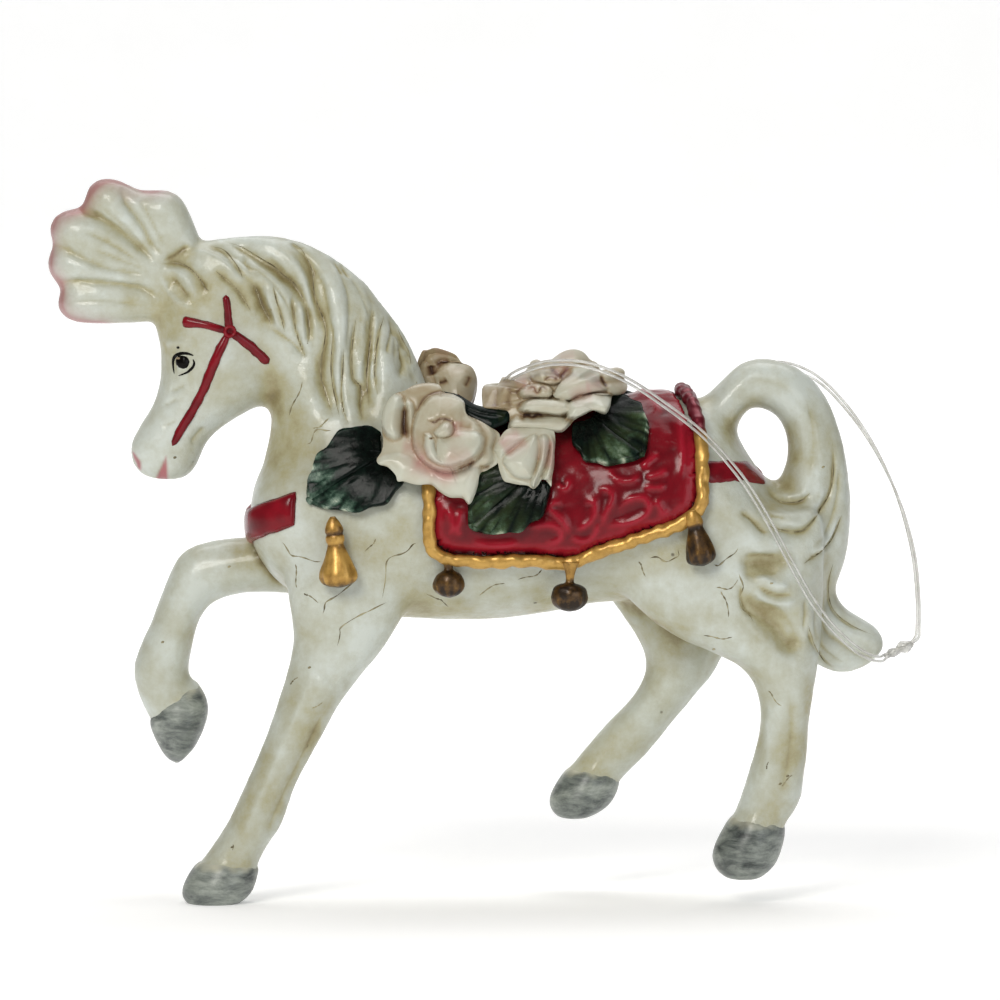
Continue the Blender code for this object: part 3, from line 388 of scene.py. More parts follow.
sweep = dict(width=4.0, front=1.8, back=1.5, rise=1.6, radius=0.45, gap=0.05, bendSteps=12)
curved = []
for k in range(1, sweep["bendSteps"] + 1):
    turn = math.pi / 2 * k / sweep["bendSteps"]
    curved.append((sweep["back"] + sweep["radius"] * math.sin(turn), sweep["radius"] * (1 - math.cos(turn))))
top = (curved[-1][0], curved[-1][1] + sweep["rise"])
bm = bmesh.new()
rows = []
for y, z in [(-sweep["front"], 0), (sweep["back"], 0), *curved, top]:
    height = z + benchHeight - sweep["gap"] * mm
    rows.append([bm.verts.new((x, y, height)) for x in (-sweep["width"] / 2, sweep["width"] / 2)])
for (left, right), (nextLeft, nextRight) in zip(rows, rows[1:]):
    bm.faces.new((left, right, nextRight, nextLeft))
paper = paint(  # matt paper with a little light of its own, so it stays white
    "white_studio_paper", (40, 2, 0.5, 0), ((0, "#F2F2F1"), (1, "#F6F6F6")),
    Roughness=0.9, Emission_Color=linear("#FFFFFF"), Emission_Strength=0.30)
floor = addObject("studio_sweep", meshOf(bm, "studio_sweep"))
floor.data.materials.append(paper)
print("camera, lights and sweep ready")


# Hanging thread: two strands out of the hole in the back, a knot at the tail and the bight beyond it

thread = dict(diameter=0.32, steps=5, bevelSteps=3)
nearStrand = (
    (0, -0.3, 56.4), (0, -0.45, 58.4), (0.3, -1.5, 59.9), (1.5, -4.6, 61.9), (3.4, -7.4, 63.2),
    (6.6, -9.6, 64.2), (10.6, -11, 64), (15, -11.9, 62.4), (19.4, -12.3, 59.6), (24.2, -12.6, 55.9),
    (28.3, -12.8, 51.3), (31, -12.8, 47.2), (33.4, -12.4, 42.8), (36.6, -11, 36.9), (39.4, -9.2, 33),
    (42.2, -6.8, 30.2), (44.4, -4.4, 28.8), (45.9, -2.2, 28.4), (46.6, -0.45, 28.7))
hangingBight = (
    (48.2, -0.3, 29.6), (49.8, -0.2, 30.9), (50.1, -0.25, 32.2), (50.1, -0.25, 36), (49.5, 0.1, 41.4),
    (47.8, 1, 47.8), (45.2, 2.4, 53.6), (42, 3.8, 58.4), (38.4, 4.7, 62), (34.8, 5, 63.6), (31.8, 5, 63.5),
    (30.6, 5.2, 62.6), (31.8, 5.4, 61.9), (34.6, 5.5, 62.5), (38.2, 5.2, 61.5), (41.9, 4.3, 57.9),
    (45.2, 2.9, 53.2), (48, 1.5, 47.5), (49.8, 0.6, 41.4), (50.4, 0.2, 36), (50.45, 0.2, 32.2),
    (50.2, 0.2, 30.8), (48.4, 0.3, 29.8))
bightEnd = (30.6, 5.2, 62.6)
farStrand = (  # from the knot back to the hole
    (46.3, 0.1, 29), (45.7, -1.8, 28.9), (44.5, -4, 29.3), (42.5, -6.5, 30.7), (39.8, -9, 33.4),
    (37.1, -10.8, 37.2), (33.9, -12.3, 43), (31.5, -12.7, 47.4), (28.8, -12.7, 51.5), (24.6, -12.4, 56.2),
    (19.8, -12.1, 59.9), (15.3, -11.6, 62.8), (10.8, -10.8, 64.5), (6.5, -9.4, 64.7), (3.1, -7.2, 63.7),
    (1.2, -4.3, 62.4), (0, -0.8, 60.2), (0.1, 0.3, 58.45), (0.1, 0.3, 56.4))
nylon = paint(  # drawn nylon line: milky clear, with a hard bright streak along it
    "clear_nylon_line", (1.6, 2, 0.5, 0), ((0.3, "#D9D8D2"), (0.7, "#F4F4F1")),
    Roughness=0.14, IOR=1.45, Transmission_Weight=0.6, Coat_Weight=0.3)

knot = dict(centre=(48.2, 0.0, 29.7), tilt=28.0, length=3.0, radius=0.72, sides=18, lean=0.35, lump=0.16,
            pace=3.1)
knotProfile = (  # shares of the length and of the radius
    (-0.52, 0.3), (-0.46, 0.62), (-0.34, 0.8), (-0.2, 0.8), (-0.1, 0.62), (-0.02, 0.86), (0.1, 1),
    (0.24, 1), (0.33, 0.84), (0.42, 0.74), (0.5, 0.52), (0.53, 0.22))
knotTags = ((1.3, 0.5), (1.0, -0.6))  # length and lean of the two cut ends beside the knot
tagShape = dict(thick=0.16, thin=0.13, sides=8, aside=0.1, sink=0.45, pivot=-1.0, twist=0.4, shift=0.2)
bm = turned([(r * knot["radius"] * mm, s * knot["length"] * mm) for s, r in knotProfile], knot["sides"])
for vert in bm.verts:  # the wraps lean, so the lumps sit askew
    vert.co.z += knot["lean"] * vert.co.x
    vert.co.x *= 1.0 + knot["lump"] * math.sin(vert.co.z / mm * knot["pace"])
for reach, lean in knotTags:
    tag = bmesh.ops.create_cone(bm, cap_ends=True, segments=tagShape["sides"], radius1=tagShape["thick"] * mm,
                                radius2=tagShape["thin"] * mm, depth=reach * mm)["verts"]
    down = -(tagShape["sink"] + reach / 2) * mm
    bmesh.ops.translate(bm, vec=(tagShape["aside"] * mm, 0, down), verts=tag)
    turn = Matrix.Rotation(lean, 3, "Y") @ Matrix.Rotation(tagShape["twist"] * lean, 3, "X")
    bmesh.ops.rotate(bm, cent=(0, 0, tagShape["pivot"] * mm), matrix=turn, verts=tag)
    bmesh.ops.translate(bm, vec=(tagShape["shift"] * lean * mm, 0, -tagShape["sink"] * mm), verts=tag)
tilt = math.pi / 2 - math.radians(knot["tilt"])
bmesh.ops.rotate(bm, cent=(0, 0, 0), matrix=Matrix.Rotation(tilt, 3, "Y"), verts=bm.verts)
bmesh.ops.translate(bm, vec=spot(*knot["centre"]), verts=bm.verts)
threadKnot = addPiece("thread_knot_wraps", meshOf(bm, "thread_knot_wraps"), nylon,
                      replaces=("thread_knot",), body="hanging_loop")

route = [spot(*p) for p in smoothLine(nearStrand + hangingBight + farStrand, thread["steps"])]
turn = thread["steps"] * (len(nearStrand) + hangingBight.index(bightEnd))
halves = {  # one thread, told as its two halves, which meet at the end of the bight
    "near_nylon_thread": (route[:turn + 1], ("thread_near_strand", "thread_hanging_bight"), [threadKnot]),
    "far_nylon_thread": (route[:turn - 1:-1], ("thread_far_strand",), []),
}
threadLength = 0.0
for name, (line, nodes, ties) in halves.items():
    curve = bpy.data.curves.new(name, "CURVE")
    curve.dimensions = "3D"
    curve.bevel_depth = thread["diameter"] / 2 * mm
    curve.bevel_resolution = thread["bevelSteps"]
    curve.use_fill_caps = True
    spline = curve.splines.new("POLY")
    spline.points.add(len(line) - 1)
    for point, place in zip(spline.points, line):
        point.co = (*place, 1.0)
    spline.use_smooth = True
    halfLength = sum((b - a).length for a, b in zip(line, line[1:]))
    half = addPiece(name, curve, nylon, body="hanging_loop", replaces=nodes)
    threadLength += halfLength
print("thread laid,", round(threadLength / mm), "mm")


# Finishes

ivoryGlaze = paint(  # resin, cream paint, umber rub, varnish: cool white tops, olive hollows partly painted shade
    "antiqued_ivory_varnish", (7, 7, 0.68, 0),
    ((0, "#C8CEC6"), (1, "#40341E"), (0.22, "#B5B7A6"), (0.42, "#A6A17F"), (0.62, "#897E55"),
     (0.80, "#6A5D38")),
    grit=(1.3, 5, 0.65, 0), patch=(0.3, 0.7, 0.22), pits=(9, 0.012, 0.03, 0.8, "#4A4026"), tint="#A45F62",
    gloss=(0.3, 0.7, 0.30, 0.58), bump=(0.7, 0.20), IOR=1.5, Coat_Weight=0.28, Coat_Roughness=0.10)
hoofPaint = paint(  # silver grey brushed over black, in streaks
    "grey_hoof_paint", (2.0, 6, 0.7, 0.3),
    ((0.30, "#363B3A"), (0.72, "#A9AEA7"), (0.42, "#606662"), (0.52, "#7E847E"), (0.60, "#91978F")),
    stretch=(0.5, 0.5, 1.4), tint="#B9B8A4", gloss=(0, 1, 0.22, 0.5), bump=(0.4, 0.15), IOR=1.5)
crimson = paint(  # thick red enamel: painted shade in the hollows, a painted highlight on the ridges
    "crimson_enamel", (3.5, 3, 0.5, 0),
    ((0, "#9C1A2C"), (1, "#2E060B"), (0.35, "#84121F"), (0.65, "#600B15")),
    grit=(0.8, 2, 0.5, 0), patch=(0, 1, 0.2), gloss=(0, 1, 0.14, 0.28), bump=(0.25, 0.1),
    IOR=1.5, Specular_IOR_Level=0.25)
goldPaint = paint(  # gold under a brown wash, red on the crest; warm on top, painted shade in creases and underneath
    "antiqued_gold_paint", (1.5, 4, 0.65, 0),
    ((0, "#C69C4F"), (1, "#261808"), (0.35, "#A47C38"), (0.65, "#5E421A")),
    patch=(0.3, 0.7, 0.28), tint="#6C1022", gloss=(0, 1, 0.28, 0.5), bump=(0.35, 0.12),
    Metallic=0.55, Coat_Weight=0.2, Coat_Roughness=0.2)
leafEnamel = paint(  # near-black green enamel, dry-brushed pale along the fan of veins
    "dark_green_enamel", (0.8, 4, 0.7, 0),
    ((0, "#060A08"), (1, "#B9C2AE"), (0.30, "#0C1813"), (0.48, "#22352B"), (0.66, "#485D50"),
     (0.82, "#768779")),
    patch=(0.3, 0.7, 0.18), tint="#5F6B3C", gloss=(0, 1, 0.14, 0.3), bump=(0.35, 0.12),
    IOR=1.5, Specular_IOR_Level=0.1)
petalPaint = paint(  # ivory paint blushed with pink, and a brown rub with painted shade between the petals
    "blush_ivory_paint", (3.0, 5, 0.6, 0),
    ((0, "#C2C3B3"), (1, "#3F281A"), (0.25, "#B6B09A"), (0.5, "#9E8D6E"), (0.75, "#70573D")),
    grit=(0.7, 2, 0.5, 0), patch=(0.3, 0.7, 0.12), tint="#B47C78", bump=(0.3, 0.08),
    IOR=1.48, Coat_Weight=0.25, Coat_Roughness=0.2, Roughness=0.36)
blackEnamel = paint(  # a wet black dot
    "black_eye_enamel", (0.8, 2, 0.5, 0), ((0.3, "#040404"), (0.8, "#100E0C")),
    gloss=(0, 1, 0.15, 0.3), IOR=1.5, Specular_IOR_Level=0.1)
umberRub = paint(  # thin brown-olive line
    "umber_in_a_crack", (1.5, 3, 0.5, 0), ((0.38, "#564D30"), (0.62, "#A29B79")), IOR=1.5, Roughness=0.5)
print("finishes mixed")


# Horse skin: the cast body, plume, raised leg and hoof cores as one surface, with hair and face cut in

maneCuts = (  # depth (below 0 is a ridge), half width, brown rub (below 0 a painted highlight), and the line in side view
    (0.9, 0.75, 0.34, ((-33, 78.5), (-31, 78), (-29.5, 77.3), (-28, 76.4), (-26.5, 75.5), (-25.4, 74.5),
        (-24.4, 73.8), (-23.6, 72.9), (-23.1, 71.8), (-22.7, 70.6))),
    (0.55, 0.32, 0.4, ((-22.9, 71.2), (-22.5, 70.2), (-22.4, 69), (-22.3, 67.8), (-22.5, 66.4))),
    (0.9, 0.7, 0.34, ((-24.4, 78.3), (-23.3, 77.5), (-22.4, 76), (-21.9, 74.6), (-21.8, 73), (-21.5, 71.5),
        (-20.9, 70), (-20.5, 68.6), (-20.4, 67.4), (-20.6, 66), (-20.9, 64.4), (-20.9, 62.5), (-20.5, 61),
        (-19.9, 59.2), (-19.4, 57.6))),
    (0.7, 0.6, 0.34, ((-29.2, 73.6), (-28.5, 72.6), (-28, 71), (-27.2, 69.5), (-26.8, 68.4))),
    (0.3, 0.26, 0.24, ((-27.2, 68.4), (-25.5, 67.3), (-24.3, 66.5), (-23.4, 65.5), (-22.6, 64.7))),
    (0.4, 0.24, 0.26, ((-26.6, 73.4), (-26.3, 72), (-25.9, 70.5), (-25.5, 69), (-25.2, 67.8))),
    (0.6, 0.3, 0.46, ((-24.3, 72.3), (-24.1, 70.5), (-24, 69), (-23.9, 68), (-23.6, 67), (-23.2, 65.8),
        (-22.7, 64.8))),
    (0.55, 0.3, 0.36, ((-16.7, 69.6), (-17, 67.6), (-17.2, 65.6), (-17.2, 64), (-17, 62.3), (-16.3, 61.5),
        (-16.1, 60.4), (-16.2, 59), (-15.9, 56.8))),
    (0.4, 0.28, 0.24, ((-19.5, 69), (-19.6, 66), (-19.7, 63), (-19.3, 60.4), (-18.6, 57.6))),
    (0.45, 0.28, 0.28, ((-18.2, 66), (-18.3, 63), (-18.5, 60.4), (-18.2, 58.6), (-17.5, 56.8))),
    (0.7, 0.55, 0.34, ((-14.6, 70.6), (-14.9, 68.5), (-15.1, 66.5), (-15.4, 64), (-15.5, 62),
        (-15.1, 58.6))),
    (0.5, 0.42, 0.3, ((-13.4, 69.7), (-14, 67.6), (-14.4, 65.2), (-14.5, 62.4), (-14.1, 60.2))),
    (0.6, 0.45, 0.34, ((-12.7, 69.8), (-12.1, 68.6), (-11.6, 67.4), (-11, 66.2), (-10.5, 65.2),
        (-10.2, 63.6))),
    (0.4, 0.22, 0.4, ((-12.4, 68.2), (-12.8, 66.5), (-13.1, 65))),
    (0.4, 0.3, 0.22, ((-11.9, 66.4), (-11.3, 64.8), (-11.2, 63.8), (-11.6, 62.2))),
    (0.35, 0.22, 0.5, ((-19.7, 76.4), (-18.9, 75.2), (-18.3, 74.3))),
    (0.35, 0.22, 0.5, ((-19.2, 76.4), (-18.3, 75.1), (-17.5, 73.9))),
    (0.3, 0.22, 0.42, ((-24.6, 78.3), (-23.6, 77.8), (-22.6, 77.8))),
    (0.5, 0.4, 0.3, ((-34.6, 77.8), (-32.8, 77.6), (-31.6, 76.6), (-30.6, 75.2), (-30.2, 74.2))),
    (0.4, 0.3, 0.26, ((-30.2, 77), (-29.5, 75.8), (-29, 74.8))),
    (0.5, 0.45, 0.26, ((-33.6, 75.2), (-32.4, 74.2), (-31, 73), (-30, 71.6), (-29.2, 70.2))),
    (-0.4, 0.45, -0.12, ((-23.5, 71.6), (-23.3, 70), (-23.1, 68.2), (-22.8, 66.2))),
    (-0.35, 0.7, -0.08, ((-26, 77.4), (-24.2, 75.9), (-23, 74.2), (-22.4, 72.2), (-21.6, 69.4))),
    (-0.35, 0.8, -0.1, ((-19.8, 76), (-19, 73.6), (-18.6, 70.6), (-18.5, 67.6), (-18.9, 64))),
    (-0.3, 0.26, -0.1, ((-16.2, 71.4), (-15.6, 70), (-15.2, 68.4), (-15.6, 66), (-16.2, 63.4),
        (-16, 61.8))),
    (-0.3, 0.26, -0.1, ((-15.3, 72.2), (-14.8, 70.6), (-14.4, 69.2), (-14.6, 67), (-14.9, 64), (-15, 61))),
    (-0.3, 0.24, -0.1, ((-10.8, 69.2), (-9.9, 67), (-9.4, 65), (-9, 63), (-8.8, 61.6))),
    (-0.3, 0.24, -0.1, ((-11, 66), (-10.4, 64.4), (-10, 62.4))),
    (-0.3, 0.24, -0.1, ((-12.3, 67.6), (-11.7, 66), (-11.4, 64.6))),
    (-0.3, 0.4, -0.08, ((-27.4, 73.4), (-26.9, 71.4), (-26.2, 69.2), (-25.4, 67.8))),
    (-0.3, 0.4, -0.08, ((-36.6, 77.2), (-34.6, 77), (-32.6, 76.2), (-31.2, 74.8), (-30.2, 73.4))))
maneGuides = (  # lines that the fine hair follows, from the crest down, front to back
    ((-36.4, 77.6), (-33.6, 76.6), (-31.4, 75), (-29.6, 73.2), (-28.2, 71), (-27, 69), (-25.4, 67.2)),
    ((-33.5, 78.4), (-29.5, 77.4), (-26.5, 75.6), (-24.4, 73.8), (-23, 71.4), (-22.4, 68.8), (-22.4, 66.2)),
    ((-26.4, 78.8), (-23.4, 77.2), (-21.9, 74.4), (-21.2, 71), (-20.4, 67.4), (-20.9, 63.4), (-19.4, 57.6)),
    ((-21.4, 77.6), (-18.6, 75), (-17.2, 71.5), (-17, 68), (-17.2, 64.6), (-16.6, 61), (-16, 57)),
    ((-17.4, 75), (-15.6, 72.2), (-14.8, 69.4), (-15, 66.4), (-15.5, 63.6), (-15.4, 60.6), (-14.8, 57.6)),
    ((-13.6, 71.2), (-12.7, 69.4), (-12.1, 67.6), (-11.8, 65.8), (-11.8, 64), (-12.2, 62), (-12.6, 60)),
    ((-10.8, 67.8), (-10.2, 66.4), (-9.7, 65), (-9.4, 63.8), (-9.2, 62.6), (-9.1, 61.4), (-9, 60.2)))
fineHair = dict(strands=(4, 3, 4, 2, 3, 3), depth=0.20, width=0.24, rub=0.05, stray=0.25, uneven=0.5)
fineCuts = []
for number, (first, second) in enumerate(zip(maneGuides, maneGuides[1:])):
    for k in range(fineHair["strands"][number]):
        share = (k + 0.5 + 0.25 * math.sin(9.0 * k + number)) / fineHair["strands"][number]
        line = np.array(first) * (1 - share) + np.array(second) * share
        line[:, 0] += fineHair["stray"] * np.sin(np.linspace(0, 6, len(line)) + 5.0 * k + 2.0 * number)
        line = line[(k + number) % 2:len(line) - (2 * k + number) % 3]
        strength = 1 + fineHair["uneven"] * math.sin(4.0 * k + 1.7 * number)
        fineCuts.append((fineHair["depth"] * strength, fineHair["width"], fineHair["rub"] * strength, line))
headCuts = (  # the same for the face, the chest and the legs
    (0.55, 0.4, 0.3, ((-40, 75.8), (-38, 75.9), (-36.5, 75.3), (-35.4, 74.2), (-34.6, 73), (-33.9, 72.5))),
    (-0.4, 0.35, -0.05, ((-39.8, 74.9), (-38.4, 75.1), (-37.2, 74.4), (-36.2, 73), (-35.6, 71.6))),
    (-0.35, 0.35, -0.05, ((-40, 74.6), (-39.4, 73.2), (-38.3, 71.9), (-37, 71), (-35.8, 70.7))),
    (0.4, 0.3, 0.24, ((-38.8, 74.3), (-38, 73.6), (-37.2, 72.6), (-36.5, 71.7))),
    (0.22, 0.2, 0.14, ((-38.9, 60.6), (-37.9, 61), (-36.9, 61.6))),
    (0.18, 0.2, 0.12, ((-39.6, 59), (-38.8, 59.3), (-37.9, 59.9))),
    (-0.45, 1.1, -0.06, ((-38, 64), (-36.6, 64.1))),
    (-0.3, 0.6, 0, ((-39.4, 66.2), (-37.8, 66.6), (-36, 66.3))),
    (0.3, 0.35, 0, ((-43.7, 53.1), (-43.3, 52.3), (-42.9, 51.6))),
    (-0.35, 0.8, 0, ((-44.2, 54.4), (-42.8, 54.2), (-41.9, 52.6))),
    (0.3, 0.35, 0, ((-39.4, 52.7), (-39.9, 51.4), (-40.3, 49.8))),
    (0.25, 0.35, 0.2, ((-36.5, 54.3), (-35.7, 55.5), (-34.6, 56.6))),
    (0.18, 0.22, 0.14, ((-39.8, 56.4), (-38.9, 56.8), (-38, 57.3))),
    (0.6, 0.3, 0.5, ((-29, 42.4), (-28.3, 40.4), (-27.2, 38.5), (-25.7, 36.9))),
    (-0.4, 0.9, -0.1, ((-21.6, 28), (-24, 22), (-26.6, 16), (-29.4, 9.6), (-30.6, 6.4))),
    (0.4, 0.6, 0.14, ((-19.4, 25), (-21.6, 20.6), (-24, 15.6), (-26.4, 10.6), (-27.8, 7.4))),
    (-0.4, 1.2, -0.06, ((-20, 27.4), (-21.2, 25.4), (-22.4, 23))),
    (0.35, 0.7, 0.12, ((34.6, 26), (34.9, 21), (34.4, 16), (33.6, 12))),
    (-0.35, 0.9, -0.08, ((32.4, 24), (32.4, 19), (31.8, 13.6))))
plumeCuts = (
    (0.7, 0.45, 0.1, ((-44.8, 84.8), (-43.8, 82.8), (-42.8, 81.4), (-41.9, 79.9), (-41.2, 78.4),
        (-39.8, 76.8))),
    (0.7, 0.45, 0.12, ((-51, 82.5), (-49, 82), (-47, 81.2), (-45, 79.9), (-43, 78.2), (-40.6, 76))),
    (0.45, 0.4, 0.08, ((-53, 78.4), (-51, 77.4), (-48.6, 76.2), (-46, 75.2), (-43.4, 74.8), (-41, 74.6))),
    (0.7, 0.45, 0.1, ((-52.3, 73.6), (-50, 73.7), (-46, 73.5), (-42.5, 73), (-40, 71.8))),
    (0.25, 0.26, 0.1, ((-47.4, 83), (-45.8, 81.6), (-44.2, 80.2), (-42.6, 78.4), (-40.8, 76.4))),
    (0.25, 0.26, 0.1, ((-49.6, 79.8), (-47, 78.8), (-44.6, 77.4), (-42.2, 75.8))),
    (0.22, 0.26, 0.08, ((-51, 71.2), (-48, 71.4), (-45, 71.3), (-42, 70.8))),
    (0.25, 0.26, 0.1, ((-42.4, 83.4), (-41.4, 81.6), (-40.4, 79.6), (-39.2, 77.8))),
    (0.22, 0.26, 0.08, ((-48, 77.6), (-46, 76.8), (-43.6, 75.8), (-41.4, 75.2))),
    (0.45, 0.35, 0.4, ((-36.6, 78.2), (-37.4, 77.5), (-38.4, 76.8), (-39.6, 76.2))))
tailCuts = (
    (0.5, 0.3, 0.34, ((31.9, 49.4), (32.8, 48.2), (33.8, 47.6), (35, 47.5), (36.2, 47.8), (37.4, 48.8))),
    (0.55, 0.32, 0.34, ((31.4, 45.7), (32.6, 44.9), (34, 44.5), (35.5, 44.3), (36.6, 44.6), (37.6, 45.6),
        (38.6, 46.9), (39.4, 48.2), (39.9, 49.8), (40.1, 52), (39.9, 54.6))),
    (0.5, 0.3, 0.3, ((36.2, 40.5), (37.4, 41.2), (38.6, 41.9), (39.6, 42.8), (40.4, 44.2), (41, 46))),
    (0.35, 0.35, 0.16, ((36.8, 42.1), (38.3, 43.1), (39.4, 44.6), (40.2, 46.8), (40.7, 49.4),
        (40.8, 52.4))),
    (-0.3, 0.35, -0.1, ((37.4, 41.8), (38.8, 42.6), (39.8, 44), (40.5, 46.2))),
    (-0.3, 0.45, -0.08, ((32.4, 48.9), (33.4, 48.2), (34.8, 48.1), (36.2, 48.4), (37.2, 49.4))),
    (-0.3, 0.5, -0.08, ((32.4, 45.9), (34.2, 45.4), (35.8, 45.2), (37, 46), (38.2, 47.6), (39, 49.6))),
    (0.5, 0.3, 0.4, ((28.6, 46.8), (29.8, 46.2), (31, 45), (32.2, 44))),
    (0.25, 0.22, 0.3, ((32.1, 46.3), (33, 46.1), (34.2, 45.9))),
    (0.25, 0.6, 0.08, ((36.4, 60), (37.3, 58), (37.6, 55), (37.4, 52), (36.9, 50))),
    (0.25, 0.6, 0.08, ((29, 61.6), (31.2, 62), (33.6, 61.4), (35.6, 59.8), (36.6, 58))),
    (0.32, 0.32, 0.22, ((38.7, 40.2), (38.8, 38), (38.8, 36), (38.8, 34), (39.1, 32.4), (40, 31.3),
        (41.5, 30.2), (43, 29.2), (44.5, 28.7), (45.8, 28.4))),
    (0.4, 0.28, 0.24, ((40, 40.2), (39.6, 38.5), (39.5, 36.5), (40, 34.7), (41.2, 33.4), (42.8, 32.4),
        (44.6, 31.6))),
    (0.45, 0.3, 0.28, ((36.9, 33.2), (37.4, 31.6), (38.2, 29.6), (39.4, 28), (40.8, 27.2))),
    (0.35, 0.26, 0.2, ((37.9, 37), (37.8, 34.4), (38, 32), (39, 30), (40.6, 28.6), (42.4, 27.9))),
    (0.3, 0.26, 0.16, ((36.4, 36.6), (36.6, 34.6), (36.4, 32.4))),
    (0.45, 1.1, 0.12, ((28.4, 40.6), (30, 40.7), (31.8, 40.7), (33.6, 40.8), (35, 40.9))),
    (0.3, 0.8, 0.08, ((28.8, 39.4), (30.4, 39.4), (32, 39.6), (33.6, 39.8))),
    (0.45, 1.2, 0.12, ((28.8, 38.2), (29.9, 36.2), (31.4, 34.6), (33.2, 33), (34.6, 31), (35.4, 29))),
    (0.4, 1, 0.1, ((31, 36.4), (33.2, 35), (34.8, 33.4), (35.4, 31.4), (35.6, 29.8))),
    (0.25, 0.25, 0.3, ((29.4, 41.7), (31.2, 41.6), (33.6, 41.4))),
    (0.25, 0.25, 0.3, ((28.8, 38.8), (28.9, 36.8), (29.6, 35.2), (31, 34.2))),
    (-0.55, 0.4, -0.16, ((30.6, 38.7), (31.6, 38.8), (33, 38.1), (34.6, 38))),
    (-0.55, 0.45, -0.16, ((30.3, 37.6), (32, 36.3), (33.8, 35.9), (35.6, 36.2))),
    (0.35, 0.25, 0.34, ((30.8, 38.1), (32, 37.3), (33.6, 36.9), (35, 37))))
rubAndShadePatches = (  # x, z, radius and strength of the brown rub, which is also painted shade in the recesses
    (-24.5, 60.5, 4.5, 0.12), (-26.5, 53, 4, 0.14), (-26.6, 58, 2.2, 0.2), (-34.2, 72.8, 1.6, 0.24),
    (-37, 69.8, 2.6, 0.14), (-37.4, 77, 1.3, 0.22), (-21.5, 55, 3.5, 0.1), (31.5, 40.4, 1.8, 0.16),
    (32.6, 34.2, 2.6, 0.12), (35.6, 52.5, 1.8, 0.26), (35.4, 56, 1.6, 0.22), (28, 56.6, 1.6, 0.26),
    (30.8, 59.4, 2, 0.2), (34.2, 49.4, 1.6, 0.24), (-15, 57.5, 2.5, 0.12), (34.9, 30.6, 1.4, 0.08),
    (-30, 36, 2.6, 0.12), (-20, 33, 4, 0.06), (22, 33, 4, 0.12), (-31, 6, 3, 0.12), (31.5, 10.5, 3, 0.12),
    (11.5, 15, 3, 0.1), (-39, 23, 2.5, 0.08), (-31, 62, 3, 0.08), (-27.6, 70.4, 2, 0.14),
    (-31, 70, 3.5, 0.12))
rubAndShadeStrokes = (  # strength and half width of a brushed brown line, partly painted shade, and its line in side view
    (0.16, 1.2, ((-26.3, 18), (-29, 12.6), (-31.2, 7.6))),
    (0.16, 0.9, ((-24.6, 12.4), (-26.4, 8))),
    (0.08, 0.9, ((-19.4, 24.4), (-21, 21), (-22.8, 17.4))),
    (0.24, 1.4, ((-32, 41.4), (-29.4, 40.6), (-28, 38.6))),
    (0.26, 1.2, ((13.6, 35.8), (17.6, 33.8), (21, 31.4), (25, 29))),
    (0.2, 0.8, ((36.9, 28), (36.6, 21), (36.2, 14))),
    (0.16, 1.4, ((-10.6, 35.4), (-4, 34.2), (4, 34.8), (12, 36.6))),
    (0.14, 0.9, ((-37.4, 36), (-36.6, 31), (-37, 27))))
pinkShapes = (  # painted nostril and mouth
    ((-43.7, 53.6), (-42.9, 53.1), (-42.35, 52.1), (-42.4, 51.2), (-43.1, 51.5), (-43.6, 52.4)),
    ((-39.35, 52.9), (-39.25, 51.4), (-39.3, 49.3), (-40.2, 49.2), (-41, 49.5), (-40.2, 51)))
facePatches = ((-40.5, 61.0, 4.0, 1.0), (-41.0, 54.0, 3.5, 1.0))  # where the face stays a cool white
rooted = {  # where along x a part's root starts, its run, and its push into the body, so no seam is left open
    "raised_foreleg": (-30.0, 4.0, (0.8, -0.5, 0.4)),
    "head_plume": (-44.0, 4.0, (1.0, 0.0, -0.3)),
}
horseSkin = dict(voxel=0.515, rounds=9, swell=0.12, hoofCore=(1.05, 1.05, 1.10), fineFrom=0.35, fineRounds=3,
                 faceX=-36, faceZ=46, cutWidth=0.8, rubWidth=0.45, sideGain=1.7, sideFrom=0.15)
toolDints = ((0.10, 5.0, 31), (0.05, 2.2, 32))  # depth, size and seed of the marks left by the modelling tool
# weights of the skin's tone: painted shade under the belly and in the hollows, brown rub in cuts and patches
skinShadeAndRub = dict(ground=0.25, low=0.05, lowUnder=38, lowRun=6, hollow=0.08, hollowRounds=10, hollowFull=0.16,
                broad=0.18, broadRounds=60, broadFull=0.8, cut=0.6, patch=0.85, patchy=0.6, face=0.12)
plumeEdge = dict(x=-39.5, z=74.5, start=8.0, run=2.5, lowest=67.5, turnFrom=0.8, turnRun=0.6, rounds=55,
                 strength=3.0, even=0.7, uneven=0.6, most=0.75)
cheek = dict(start=0.9, run=0.6, soft=0.35)  # the painted nostril and mouth keep to the cheeks

hoofNodes = ("near_fore_hoof", "near_hind_hoof", "off_fore_hoof", "off_hind_hoof")
bm = nodeCopy("horse_body")
parts = []
for node, (start, run, push) in rooted.items():
    part = nodeCopy(node)
    for vert in part.verts:
        vert.co += Vector(push) * mm * float(ramped(vert.co.x / mm, start, run))
    parts.append(meshOf(part, node + "_rooted"))
for node in hoofNodes:  # a core a little larger than the hoof, so leg and hoof run into each other
    low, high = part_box(node)
    core = nodeCopy(node)
    middle = Matrix.Translation(-(low + high) / 2)
    bmesh.ops.scale(core, vec=horseSkin["hoofCore"], space=middle, verts=core.verts)
    parts.append(meshOf(core, node + "_core"))
for part in parts:
    bm.from_mesh(part)
    bpy.data.meshes.remove(part)
skin = melt(bm, "horse_skin", horseSkin["voxel"], horseSkin["rounds"])
hairCuts = maneCuts + tuple(fineCuts) + headCuts + plumeCuts + tailCuts
bm = bmesh.new()
bm.from_mesh(skin)
middles = np.array([(edge.verts[0].co + edge.verts[1].co) / 2 for edge in bm.edges])
flat = middles[:, [0, 2]] / mm - (0, benchHeight / mm)
close = carve(flat, [(1.0, width, line) for _, width, _, line in hairCuts]) > horseSkin["fineFrom"]
